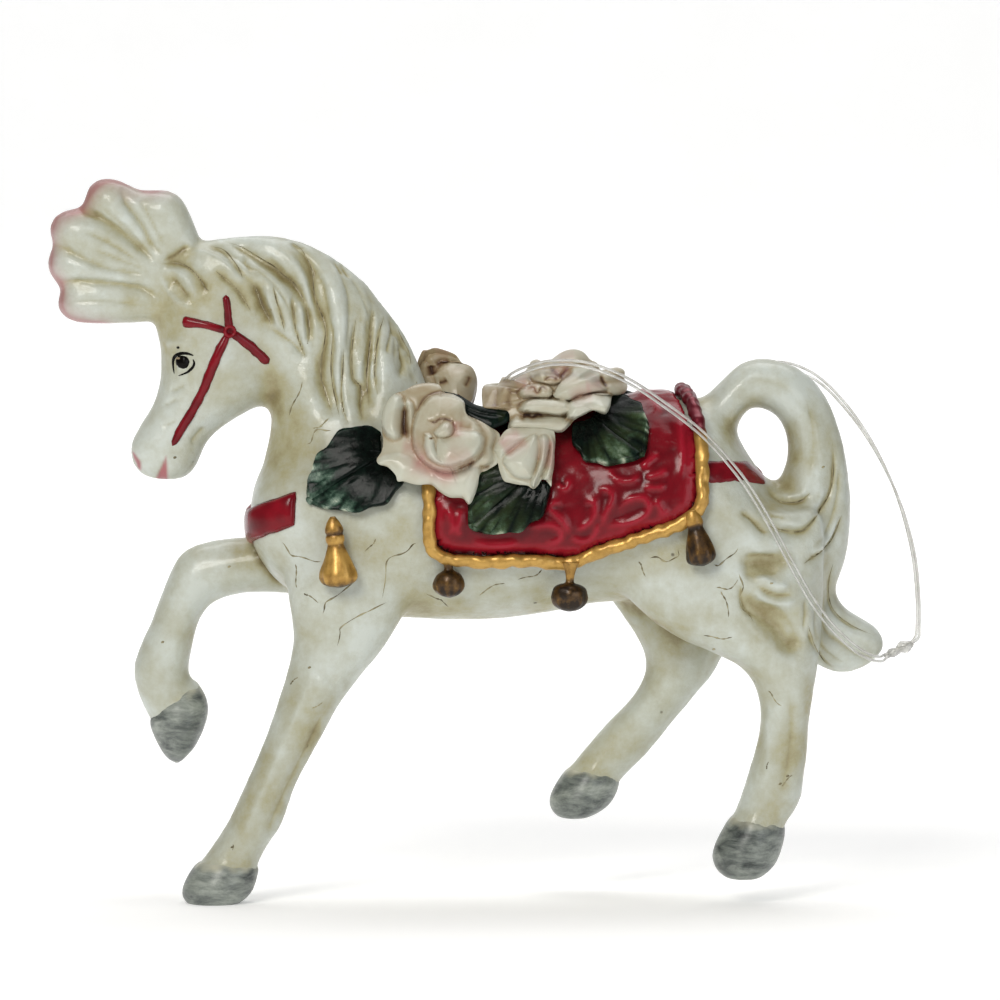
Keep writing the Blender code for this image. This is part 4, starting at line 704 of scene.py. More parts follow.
close |= (flat[:, 0] < horseSkin["faceX"]) & (flat[:, 1] > horseSkin["faceZ"])
finer = [edge for edge, near in zip(bm.edges, close) if near]  # face, plume and the hair's cuts
cut = bmesh.ops.subdivide_edges(bm, edges=finer, cuts=1, use_grid_fill=True)
fresh = onlyVerts(cut["geom_inner"])
for _ in range(horseSkin["fineRounds"]):
    bmesh.ops.smooth_vert(bm, verts=fresh, factor=0.5, use_axis_x=True, use_axis_y=True, use_axis_z=True)
bm.to_mesh(skin)
bm.free()
skin.shade_smooth()

points, normals = readPoints(skin)
flat = points[:, [0, 2]]
facing = np.clip(np.abs(normals[:, 1]) * horseSkin["sideGain"] - horseSkin["sideFrom"], 0, 1)
cuts = [(depth, horseSkin["cutWidth"] * width, line) for depth, width, _, line in hairCuts]
cutDepth = carve(flat, cuts) * facing
dints = sum(depth * speckle(points, size, seed) for depth, size, seed in toolDints)
points += normals * (horseSkin["swell"] + dints - cutDepth)[:, None]
writePoints(skin, points)
# painted shade: darker in the fine and the broad hollows, and towards the bottom under the belly
hollow = hollowness(skin, skinShadeAndRub["hollowRounds"]) / skinShadeAndRub["hollowFull"]
broad = hollowness(skin, skinShadeAndRub["broadRounds"]) / skinShadeAndRub["broadFull"]
washAndShade = skinShadeAndRub["ground"] + skinShadeAndRub["low"] * ramped(skinShadeAndRub["lowUnder"] - flat[:, 1], 0, skinShadeAndRub["lowRun"])
washAndShade += skinShadeAndRub["hollow"] * np.clip(hollow, -0.8, 1)
washAndShade += skinShadeAndRub["broad"] * np.clip(broad, -0.5, 1)
# brown rub in the cuts, and a rub below 0 paints a highlight along each ridge
rubsAndHighlights = [(rub, horseSkin["rubWidth"] * width, line) for _, width, rub, line in hairCuts]
washAndShade += skinShadeAndRub["cut"] * carve(flat, rubsAndHighlights, skirt=0.2) * facing
# brown rub in patches and strokes, partly painted shade in the recesses and under the belly and thigh
rubbedAndShaded = blobs(flat, rubAndShadePatches) + carve(flat, rubAndShadeStrokes, skirt=0.5)
washAndShade += rubbedAndShaded * (skinShadeAndRub["patch"] + skinShadeAndRub["patchy"] * speckle(points, 1.6, 33))
washAndShade -= skinShadeAndRub["face"] * np.clip(blobs(flat, facePatches), 0, 1)
writeShade(skin, "washAndShade", washAndShade)
reach = np.hypot(flat[:, 0] - plumeEdge["x"], flat[:, 1] - plumeEdge["z"])
rim = ramped(plumeEdge["turnFrom"] - facing, 0, plumeEdge["turnRun"])
rim *= ramped(reach, plumeEdge["start"], plumeEdge["run"])
rim *= (flat[:, 1] > plumeEdge["lowest"]) & (flat[:, 0] < plumeEdge["x"])
rim = plumeEdge["strength"] * settled(skin, rim, plumeEdge["rounds"])
rim *= plumeEdge["even"] + plumeEdge["uneven"] * speckle(points, 2.2, 3)
pink = np.clip(rim, 0, plumeEdge["most"])
for shape in pinkShapes:
    loop = smoothLine(shape + shape[:1], 5)
    gap, _ = lineDistance(flat, loop)
    lips = np.clip(0.5 + np.where(within(flat, loop), gap, -gap) / cheek["soft"], 0, 1)
    pink = np.maximum(pink, lips * ramped(np.abs(points[:, 1]), cheek["start"], cheek["run"]))
writeShade(skin, "blush", pink)
addPiece("horse_skin", skin, ivoryGlaze, ("horse_body", *rooted))
skinTree = treeOf(skin)
triangles = sum(len(face.vertices) - 2 for face in skin.polygons)
print("horse skin cut,", len(skin.polygons), "faces,", triangles, "triangles")


# Hooves

hoofShape = dict(voxel=0.3, rounds=6, foot=0.52, taper=0.14, rough=0.04, fadeFrom=0.80, fadeRun=0.16,
                 ragged=0.12)
for node in hoofNodes:
    hoof = melt(nodeCopy(node), node + "_paint", hoofShape["voxel"], hoofShape["rounds"])
    points, normals = readPoints(hoof)
    low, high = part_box(node)
    up = (points[:, 2] - (low.z - benchHeight) / mm) / ((high.z - low.z) / mm)
    swell = hoofShape["foot"] - hoofShape["taper"] * np.clip(up, 0, 1)
    points += normals * (swell + hoofShape["rough"] * speckle(points, 1.6, 5))[:, None]
    writePoints(hoof, points)
    fade = up - hoofShape["fadeFrom"] + hoofShape["ragged"] * speckle(points, 1.2, 8)
    writeShade(hoof, "blush", ramped(fade, 0, hoofShape["fadeRun"]))
    addPiece(node + "_paint", hoof, hoofPaint, (node,))
print("hooves brushed")


# Saddle blanket: enamel over raised scrolls, edged with a lumpy gold braid

scrolls = (  # depth (below 0 is a ridge), half width, and the line in side view
    (-0.42, 0.42, ((12.6, 44.9), (14, 45.4), (16, 45.8), (17.6, 46.6), (18, 47.6), (17.4, 48.5),
        (16.2, 48.6), (15, 47.9), (14.2, 46.9))),
    (-0.36, 0.4, ((12.4, 45), (12.7, 46.4), (13.4, 47.8), (13.6, 48.9), (12.8, 49.6), (11.7, 49.6))),
    (-0.36, 0.4, ((10.2, 48), (11.4, 48.1), (11.6, 47), (11.2, 46), (10.2, 45.2), (9.2, 44.6))),
    (-0.36, 0.4, ((12, 45.8), (11.6, 44.4), (10.6, 43.6), (9.4, 43.6), (8.6, 44.2))),
    (-0.38, 0.4, ((3.6, 44.8), (5, 45.4), (6.4, 45.4), (7.4, 44.8), (7.5, 43.9), (6.7, 43.3), (5.6, 43.5))),
    (-0.36, 0.36, ((8.6, 44.2), (8, 45.6), (7, 46.6), (6.2, 47.4), (6.8, 48), (7.8, 47.6))),
    (-0.32, 0.36, ((13, 52.2), (13.6, 51.2), (14.6, 50.6), (16, 50.6), (17, 51.4))),
    (-0.3, 0.32, ((17.2, 50), (18.6, 49.8), (20, 49.9))),
    (-0.3, 0.32, ((17.4, 51), (18.8, 51.2), (20.2, 51.8))),
    (-0.3, 0.32, ((17, 52), (18, 52.8), (19.2, 53.8))),
    (-0.32, 0.36, ((18.6, 48.6), (19.2, 47.6), (19.6, 46.8), (20.6, 47))),
    (-0.32, 0.36, ((-6, 47.6), (-5.4, 46.4), (-5.2, 45), (-5.8, 44.2))),
    (-0.32, 0.34, ((-4.6, 47.4), (-4.4, 46), (-4.6, 44.8), (-4, 44))),
    (-0.3, 0.34, ((-3, 43.4), (-1, 43), (1, 43), (3, 43.3))),
    (-0.3, 0.34, ((7.2, 50.6), (7.4, 49.8), (8.2, 49.6), (8.4, 50.3), (7.8, 50.6))),
    (-0.3, 0.4, ((21.4, 58.2), (21.8, 56), (21.9, 53.6), (21.8, 51))),
    (-0.32, 0.36, ((15.6, 62.4), (16.8, 60.8), (18.4, 59.6), (19.6, 58))))
frontSlide = dict(far=3.4, fromX=0.5, toX=-8.0, startAngle=75, fullAngle=45, castFrom=40)
blanket = dict(voxel=0.30, rounds=4, swell=0.16, rough=0.08, tuck=1.20, tuckTop=57, tuckRun=1.5,
               outGain=1.5, hollowRounds=7, hollowFull=0.14, washAndShade=0.55, hollowShade=0.3, ridgeHighlight=0.5)
braidShape = dict(voxel=0.22, rounds=4, swell=0.10, lumps=0.22, lower=1.0, lowerFrom=57.5, lowerRun=2,
                  hollowRounds=7, hollowFull=0.12, washAndShade=0.28, hollowShade=0.35, underShade=0.75, underGain=1.3,
                  redFrom=55.5, redRun=1.2)


def slideBack(points):  # over the withers the front edge sits further back, clear of the neck
    for point in points:
        angle = math.atan2(point[1], point[2] - backAxis)
        forward = (frontSlide["fromX"] - point[0]) / (frontSlide["fromX"] - frontSlide["toX"])
        over = frontSlide["startAngle"] - abs(math.degrees(angle))
        over /= frontSlide["startAngle"] - frontSlide["fullAngle"]
        share = min(max(forward, 0), 1) * min(max(over, 0), 1)
        if share == 0:
            continue
        way = Vector((0, math.sin(angle), math.cos(angle)))
        seats = []
        for x in (point[0], point[0] + frontSlide["far"] * share):
            axis = spot(x, 0, backAxis)
            hit = skinTree.ray_cast(axis + way * frontSlide["castFrom"] * mm, -way)[0]
            seats.append((hit - axis).dot(way) / mm)
        reach = math.hypot(point[1], point[2] - backAxis) + seats[1] - seats[0]
        point[:] = (point[0] + frontSlide["far"] * share, way.y * reach, backAxis + way.z * reach)


blanketCloth = melt(nodeCopy("saddle_blanket"), "blanket_enamel", blanket["voxel"], blanket["rounds"])
points, normals = readPoints(blanketCloth)
slideBack(points)
outer = np.clip(outFacing(points, normals) * blanket["outGain"], 0, 1)
raised = -carve(points[:, [0, 2]], scrolls, skirt=0.2) * outer
tuck = blanket["tuck"] * (1 - outer) * ramped(blanket["tuckTop"] - points[:, 2], 0, blanket["tuckRun"])
lift = raised + blanket["swell"] * outer + tuck  # the tucked edge runs under the braid
points += normals * (lift + blanket["rough"] * outer * speckle(points, 1.5, 7))[:, None]
writePoints(blanketCloth, points)
# painted shade in the hollows, and a painted highlight on the raised scrolls
hollow = hollowness(blanketCloth, blanket["hollowRounds"]) / blanket["hollowFull"]
washAndShade = blanket["washAndShade"] + blanket["hollowShade"] * np.clip(hollow, -1, 1) - blanket["ridgeHighlight"] * raised
writeShade(blanketCloth, "washAndShade", washAndShade)
addPiece("blanket_enamel", blanketCloth, crimson, ("saddle_blanket",))

braid = melt(nodeCopy("blanket_braid"), "braid_gold", braidShape["voxel"], braidShape["rounds"])
points, normals = readPoints(braid)
slideBack(points)
points += normals * (braidShape["swell"] + braidShape["lumps"] * speckle(points, 1.1, 11))[:, None]
crest = ramped(points[:, 2], braidShape["lowerFrom"], braidShape["lowerRun"])
points[:, 2] -= braidShape["lower"] * crest * (points[:, 0] < 0)  # lower between the roses
writePoints(braid, points)
# painted shade in the creases and on the faces that turn in towards the horse
hollow = hollowness(braid, braidShape["hollowRounds"]) / braidShape["hollowFull"]
under = 1 - np.clip(outFacing(points, normals) * braidShape["underGain"] + 0.5, 0, 1)
washAndShade = braidShape["washAndShade"] + braidShape["hollowShade"] * np.clip(hollow, -0.6, 1)
writeShade(braid, "washAndShade", washAndShade + braidShape["underShade"] * under)
redness = ramped(points[:, 2], braidShape["redFrom"], braidShape["redRun"])  # the edge is red over the back
writeShade(braid, "blush", redness)
addPiece("braid_gold", braid, goldPaint, ("blanket_braid",))
print("blanket raised and edged")


# Straps laid on the skin: a strip of grid whose points are dropped on to it from the side

strip = dict(steps=6, blunt=10, wobble=0.25, wobblePace=1.1, sunk=0.12, washAndShade=0.52, uneven=0.25)


def layStrip(bm, side, line, widths, height, across):
    line = smoothLine(line, strip["steps"])
    last = len(line) - 1
    for vert in bmesh.ops.create_grid(bm, x_segments=last, y_segments=across, size=1.0)["verts"]:
        along, over = (vert.co.x + 1) / 2, vert.co.y
        place = round(along * last)
        way = line[min(place + 1, last)] - line[max(place - 1, 0)]
        way = way / np.linalg.norm(way)
        end = math.sqrt(max(1 - abs(2 * along - 1) ** strip["blunt"], 0.02))
        x, z = line[place] * strip["wobblePace"]
        wobble = 1 + strip["wobble"] * noise.noise(Vector((x, z, 2.0 * over)))
        half = np.interp(along, np.linspace(0, 1, len(widths)), widths) / 2 * end * wobble
        x, z = line[place] + np.array((-way[1], way[0])) * half * over * -side
        hit, normal = seen(skinTree, side, x, z)
        if hit is None:
            hit, normal, _, _ = skinTree.find_nearest(spot(x, 4 * side, z))
        lift = height * (math.sqrt(max(1 - over ** 2, 0)) * end - strip["sunk"])
        vert.co = hit + normal * lift * mm


def stripPiece(name, strips, material, height, wall=0.2, replaces=(), across=6):
    bm = bmesh.new()
    for side, line, widths in strips:
        layStrip(bm, side, line, widths, height, across)
    mesh = meshOf(bm, name)
    points, _ = readPoints(mesh)
    writeShade(mesh, "washAndShade", strip["washAndShade"] + strip["uneven"] * speckle(points, 1.4, 2))
    backed(addPiece(name, mesh, material, replaces), wall)


crackLines = (  # long hairlines in the varnish, in side view
    ((-25.5, 43), (-24.6, 41.8), (-23.4, 41.3), (-22, 41.1), (-20.8, 40.8)),
    ((-20.7, 34.8), (-20.2, 36), (-18.6, 37.2), (-17.2, 38.3), (-16.6, 39.4)),
    ((-23, 37.2), (-22.2, 36.8), (-21.2, 36)),
    ((-13, 35.9), (-15, 35.2), (-16.4, 34.4), (-18.2, 33.4), (-18.6, 32.4), (-19, 31)),
    ((-9.4, 43.2), (-10.4, 42.4), (-11.8, 41.8), (-12.9, 40.8), (-13.3, 39.2), (-13.5, 36.4)),
    ((-14.2, 43.8), (-14.8, 42.9), (-15.6, 42.2)),
    ((-8.4, 36.8), (-7.2, 36.4), (-6.4, 35.9), (-5.8, 35.3)),
    ((-24, 40.5), (-23.8, 39), (-23.6, 37.7)),
    ((-19.8, 56.4), (-21.2, 56.2), (-22, 55.2), (-22.6, 54.5)),
    ((-20, 57.6), (-21, 56.7), (-22, 56.3)),
    ((-24.6, 57.8), (-23.8, 60), (-23.2, 62)),
    ((-2, 36.8), (-0.6, 37.8), (1, 38.4)),
    ((5.4, 39.9), (4.2, 39.2), (2.6, 38.6)),
    ((18, 41.2), (19.2, 41.4), (20.4, 40.9), (21.3, 41.6), (21.5, 42.4)),
    ((16.6, 41), (17.2, 40.2), (17.6, 39.2)),
    ((25.6, 40.6), (26.6, 40.7), (27.6, 41.6), (28.6, 42.7)),
    ((26, 37.8), (27.4, 37.8), (28.4, 38.8)),
    ((26.6, 37.6), (27, 36.2), (27.4, 34.5)),
    ((28.7, 39.6), (29, 38), (28.8, 36.4), (29.4, 35), (30.2, 33.8)),
    ((24.4, 32), (26.4, 31.9), (28, 31.9)),
    ((32, 25.6), (32.8, 24.6), (33.8, 23.8)),
    ((33.6, 14.2), (34.4, 14.6), (35, 15.4)),
    ((32, 16), (32.3, 17.2)),
    ((-24.4, 26.2), (-23.6, 27)),
    ((-21.8, 23.6), (-20.8, 24.1)),
    ((-22.8, 18.2), (-22.5, 19.2)),
    ((-31.45, 7.2), (-31.35, 6.4)))
crack = dict(stray=0.14, height=0.05, wall=0.1, widths=(0.05, 0.24, 0.10, 0.26, 0.05, 0.22, 0.08, 0.17, 0.04))
specks = (  # dots of brown
    (25.7, 30.4), (-32, 39.4), (-40, 30.3), (-31.4, 6.9), (-22.2, 28.3), (34.5, 15.3), (33.6, 14.4),
    (32.5, 38.4), (38.8, 51.7), (-38.3, 52.8), (-26.9, 70.4), (-8.2, 62.6))
speckWidths = (0.2, 0.36, 0.16)
hairLine = dict(depth=0.35, rub=0.24, facing=0.5, widths=(0.02, 0.12, 0.19, 0.08, 0.17, 0.10, 0.02))
bridle = dict(height=0.45, rosette=(-31.75, 67.9), rosetteRadius=0.78, rosetteSides=20, rosetteWash=0.9,
              rimPaler=0.5)
rosetteProfile = ((1.0, -0.3), (1.05, 0.3), (0.85, 0.72), (0.6, 0.7), (0.4, 0.3), (0.22, 0.2), (0.0, 0.34))
bridleStraps = (  # line in side view, and widths along it
    (((-31.8, 67.8), (-33.2, 65), (-34.2, 62.6), (-35, 60.6), (-36.2, 58.4), (-37.4, 56.4), (-38.6, 54.2)),
        (1.3, 1.25, 1.15, 1.2, 1.1)),
    (((-37.4, 69), (-36.2, 68.9), (-34.4, 68.6), (-31.9, 67.9)), (1.5, 1.3, 1.05, 1)),
    (((-32.2, 72.2), (-32, 70.4), (-31.75, 67.9)), (0.9, 1, 1.15)),
    (((-31.7, 67.9), (-29.6, 66.4), (-28.3, 65.2), (-27.1, 64)), (1.1, 1.25, 1.2, 1.2)))
crupper = (
    ((23.6, 51.5), (26, 51.5), (28, 51.5), (29.4, 51.3), (30.8, 50.6), (31.9, 49.7)),
    (2.5, 2.5, 2.5, 2.2, 1.5, 0.6))
crupperHeight = 0.34
eyeLines = (
    (((-36, 65), (-36.8, 65.25), (-37.6, 65.2), (-38.3, 64.8), (-38.5, 64.1), (-38.35, 62.7)), (0.22, 0.34,
        0.42, 0.42, 0.32, 0.14)),
    (((-36.1, 64.6), (-35.95, 64), (-36.3, 63.4), (-36.9, 62.95), (-37.9, 62.55)), (0.16, 0.32, 0.34, 0.26,
        0.12)),
    (((-38.2, 64.2), (-37.35, 64.25), (-36.5, 64.25)), (0.5, 1.15, 1.48, 1.65, 1.7, 1.65, 1.48, 1.15, 0.5)),
    (((-38.05, 65.9), (-37.7, 65.95)), (0.3, 0.3)))
eyeGlint = ((-38, 64.62), (-37.8, 64.66), (-37.6, 64.64))  # a painted highlight: a dot of white on the black
eye = dict(height=0.12, glintHeight=0.3, glintWidths=(0.26, 0.34, 0.26))
for label, side in (("near", nearSide), ("off", offSide)):
    lines = []
    for number, line in enumerate(crackLines):  # broken and crooked, as a crack in thick paint is
        line = smoothLine(line, 3)
        stray = [(math.sin(7.1 * k + number), math.cos(5.3 * k + 2 * number)) for k in range(len(line))]
        lines.append((side, line + crack["stray"] * np.array(stray), crack["widths"]))
    for x, z in specks:
        lines.append((side, ((x - 0.2, z - 0.1), (x, z), (x + 0.2, z + 0.06)), speckWidths))
    for depth, _, rub, line in hairCuts:  # brown left in the bottoms of the deeper cuts
        if depth < hairLine["depth"] or rub < hairLine["rub"] or len(line) < 5:
            continue
        kept = []
        for x, z in smoothLine(line, 2):  # only where the hair faces the side
            hit, normal = seen(skinTree, side, x, z)
            if hit is not None and normal.y * side > hairLine["facing"]:
                kept.append((x, z))
        if len(kept) > 4:
            lines.append((side, kept, hairLine["widths"]))
    stripPiece(label + "_varnish_cracks", lines, umberRub, crack["height"],
               wall=crack["wall"], across=2)
    straps = [(side, line, widths) for line, widths in bridleStraps]
    stripPiece(label + "_bridle_straps", straps, crimson, bridle["height"],
               replaces=(label + "_bridle",))
    lines = [(side, line, widths) for line, widths in eyeLines]
    stripPiece(label + "_eye_paint", lines, blackEnamel, eye["height"])
    lines = [(side, eyeGlint, eye["glintWidths"])]
    stripPiece(label + "_eye_glint", lines, petalPaint, eye["glintHeight"])
    stripPiece(label + "_crupper_enamel", [(side, *crupper)], crimson, crupperHeight,
               replaces=(label + "_crupper",), across=10)
    hit, normal = seen(skinTree, side, *bridle["rosette"])
    radius = bridle["rosetteRadius"] * mm
    bm = turned([(radius * r, radius * h) for r, h in rosetteProfile], bridle["rosetteSides"])
    seat = normal.to_track_quat("Z", "X").to_matrix().to_4x4()
    bmesh.ops.transform(bm, matrix=Matrix.Translation(hit) @ seat, verts=bm.verts)
    rosette = meshOf(bm, label + "_bridle_rosette")
    points, _ = readPoints(rosette)
    inner = np.linalg.norm(points - (np.array(hit) / mm - (0, 0, benchHeight / mm)), axis=1)
    paler = bridle["rimPaler"] * np.clip(inner / bridle["rosetteRadius"], 0, 1)
    writeShade(rosette, "washAndShade", bridle["rosetteWash"] - paler)
    addPiece(label + "_bridle_rosette", rosette, crimson)

breastStrap = dict(axisX=-20.0, reach=66, frontHeight=44.3, endHeight=47.1, rise=1.6, half=1.8, ragged=0.10,
                   thick=0.5, sunk=0.08, wall=0.3, start=14.0, columns=72, rows=12, washAndShade=0.5, uneven=0.25)
bm = bmesh.new()
grid = bmesh.ops.create_grid(bm, x_segments=breastStrap["columns"], y_segments=breastStrap["rows"], size=1.0)
for vert in grid["verts"]:
    turn, over = math.radians(breastStrap["reach"]) * vert.co.x, vert.co.y
    middle = breastStrap["frontHeight"]
    middle += (breastStrap["endHeight"] - middle) * abs(vert.co.x) ** breastStrap["rise"]
    ragged = 1 + breastStrap["ragged"] * noise.noise(Vector((vert.co.x * 9, over * 2, 3.0)))
    way = Vector((-math.cos(turn), math.sin(turn), 0))
    axis = spot(breastStrap["axisX"], 0, middle + breastStrap["half"] * over * ragged)
    hit, _, _, _ = skinTree.ray_cast(axis + way * breastStrap["start"] * mm, -way)
    edge = math.sqrt(max(1 - over ** 6, 0)) * math.sqrt(max(1 - abs(vert.co.x) ** 30, 0))
    vert.co = hit + way * (breastStrap["thick"] * edge - breastStrap["sunk"]) * mm
breast = meshOf(bm, "breast_strap_enamel")
points, _ = readPoints(breast)
writeShade(breast, "washAndShade", breastStrap["washAndShade"] + breastStrap["uneven"] * speckle(points, 1.6, 9))
breastPiece = addPiece("breast_strap_enamel", breast, crimson, ("breast_strap",))
backed(breastPiece, breastStrap["wall"])
print("straps and face painted")


# Leaves and roses sit on the back: x, angle round the back from the top, near side negative

saddleTree = treeOf(skin, blanketCloth)
bareBack = 11.0  # how far from the line the back is taken to be past its ends


def onBack(x, angle, lift):  # a point on what covers the back
    axis = spot(x, 0, backAxis)
    way = Vector((0, math.sin(angle), math.cos(angle)))
    hit, _, _, _ = saddleTree.ray_cast(axis + way * wellClear * mm, -way)
    if hit is None:
        hit = axis + way * bareBack * mm
    return hit + way * lift * mm


leafShape = dict(wall=0.75, rows=40, columns=40, backRadius=12.0, lift=0.5, curl=0.5, wave=0.25, vein=0.10,
                 midrib=0.25, midribHalf=0.3, scallop=0.04, fanStart=2.0, paleFrom=0.2, paleRun=0.5,
                 ground=0.06, pale=0.66, streaked=0.75)
leaves = {  # x, angle, heading (0 to the tail, 90 down), length, half breadth, olive share
    "near_shoulder_leaf": (-13.5, -56, 146, 10.7, 5.7, 0.0),
    "near_blanket_leaf": (3.9, -71, 141, 9.2, 4.7, 0.5),
    "near_rump_leaf": (11.6, -36, 42, 7.8, 5.2, 0.5),
    "off_shoulder_leaf": (-13.7, 57, 146, 10.7, 5.7, 0.0),
    "off_blanket_leaf": (3.9, 71, 141, 9.2, 4.7, 0.5),
    "off_rump_leaf": (11.6, 36, 42, 7.8, 5.2, 0.5),
}
for number, (node, (x, degrees, heading, length, half, oliveShare)) in enumerate(leaves.items()):
    side = nearSide if degrees < 0 else offSide
    bm = bmesh.new()
    painted = bm.verts.layers.float.new("washAndShade")
    greened = bm.verts.layers.float.new("blush")
    made = bmesh.ops.create_grid(bm, x_segments=leafShape["columns"], y_segments=leafShape["rows"], size=1.0)
    turn = math.radians(heading)
    for vert in made["verts"]:
        over, along = vert.co.x, (vert.co.y + 1) / 2
        breadth = max(1 - along ** 2.5, 0.0) ** 0.7 * (0.82 + 0.72 * along * (1 - along))
        breadth *= 1 - 0.42 * (1 - along) ** 9  # the two lobes beside the stem are round
        scallop = 1 + leafShape["scallop"] * math.sin(along * 22 + 2 * number + (over > 0)) * abs(over)
        a = length * (along - 0.14 * abs(over) ** 1.4 * (1 - along) ** 2)
        a += 0.35 * abs(over) * math.sin(9 * over + number) * (1 - along) * along
        b = half * breadth * over * scallop
        fan = math.atan2(b, a + leafShape["fanStart"])  # the veins spread from a point just behind the stem
        far = math.hypot(a + leafShape["fanStart"], b)
        streak = noise.noise(Vector((fan * 9, far * 0.25, number * 4.1)))
        streak += 0.6 * noise.noise(Vector((fan * 22, far * 0.45, number * 7.7)))
        lift = leafShape["lift"] + leafShape["curl"] * (abs(over) ** 2.5) * 0.5
        lift += leafShape["wave"] * math.sin(along * 5 + number)
        rib = leafShape["midrib"] * math.exp(-(b / leafShape["midribHalf"]) ** 2)
        lift += leafShape["vein"] * streak - rib
        dx = math.cos(turn) * a - math.sin(turn) * b
        down = math.sin(turn) * a + math.cos(turn) * b
        angle = math.radians(degrees) + side * down / leafShape["backRadius"]
        vert.co = onBack(x + dx, angle, lift)
        outer = min(max((along - leafShape["paleFrom"]) / leafShape["paleRun"], 0), 1)
        outer *= 0.55 + 0.45 * noise.noise(Vector((a / 3, b / 3, number)))
        edge = max(abs(over) - 0.86, along - 0.93, 0) * 4
        washAndShade = leafShape["ground"] + outer * (leafShape["pale"] + leafShape["streaked"] * streak)
        vert[painted] = washAndShade + edge * max(streak + 0.2, 0)
        vert[greened] = min(max(oliveShare * outer * (0.5 + 1.2 * streak), 0), 1)
    if side == nearSide:
        bmesh.ops.reverse_faces(bm, faces=bm.faces)
    leaf = addPiece(node + "_enamel", meshOf(bm, node + "_enamel"), leafEnamel, (node,))
    backed(leaf, leafShape["wall"])
print("leaves draped")


# Flowers: cast in low relief, drawn as the camera sees them; petals lie over each other with firm rims
# base and petals: height of rim and crown, run-in, brown wash (partly painted shade, on petals lying behind);
# cuts: depth, half width, brown rub; pinks: strength and half width

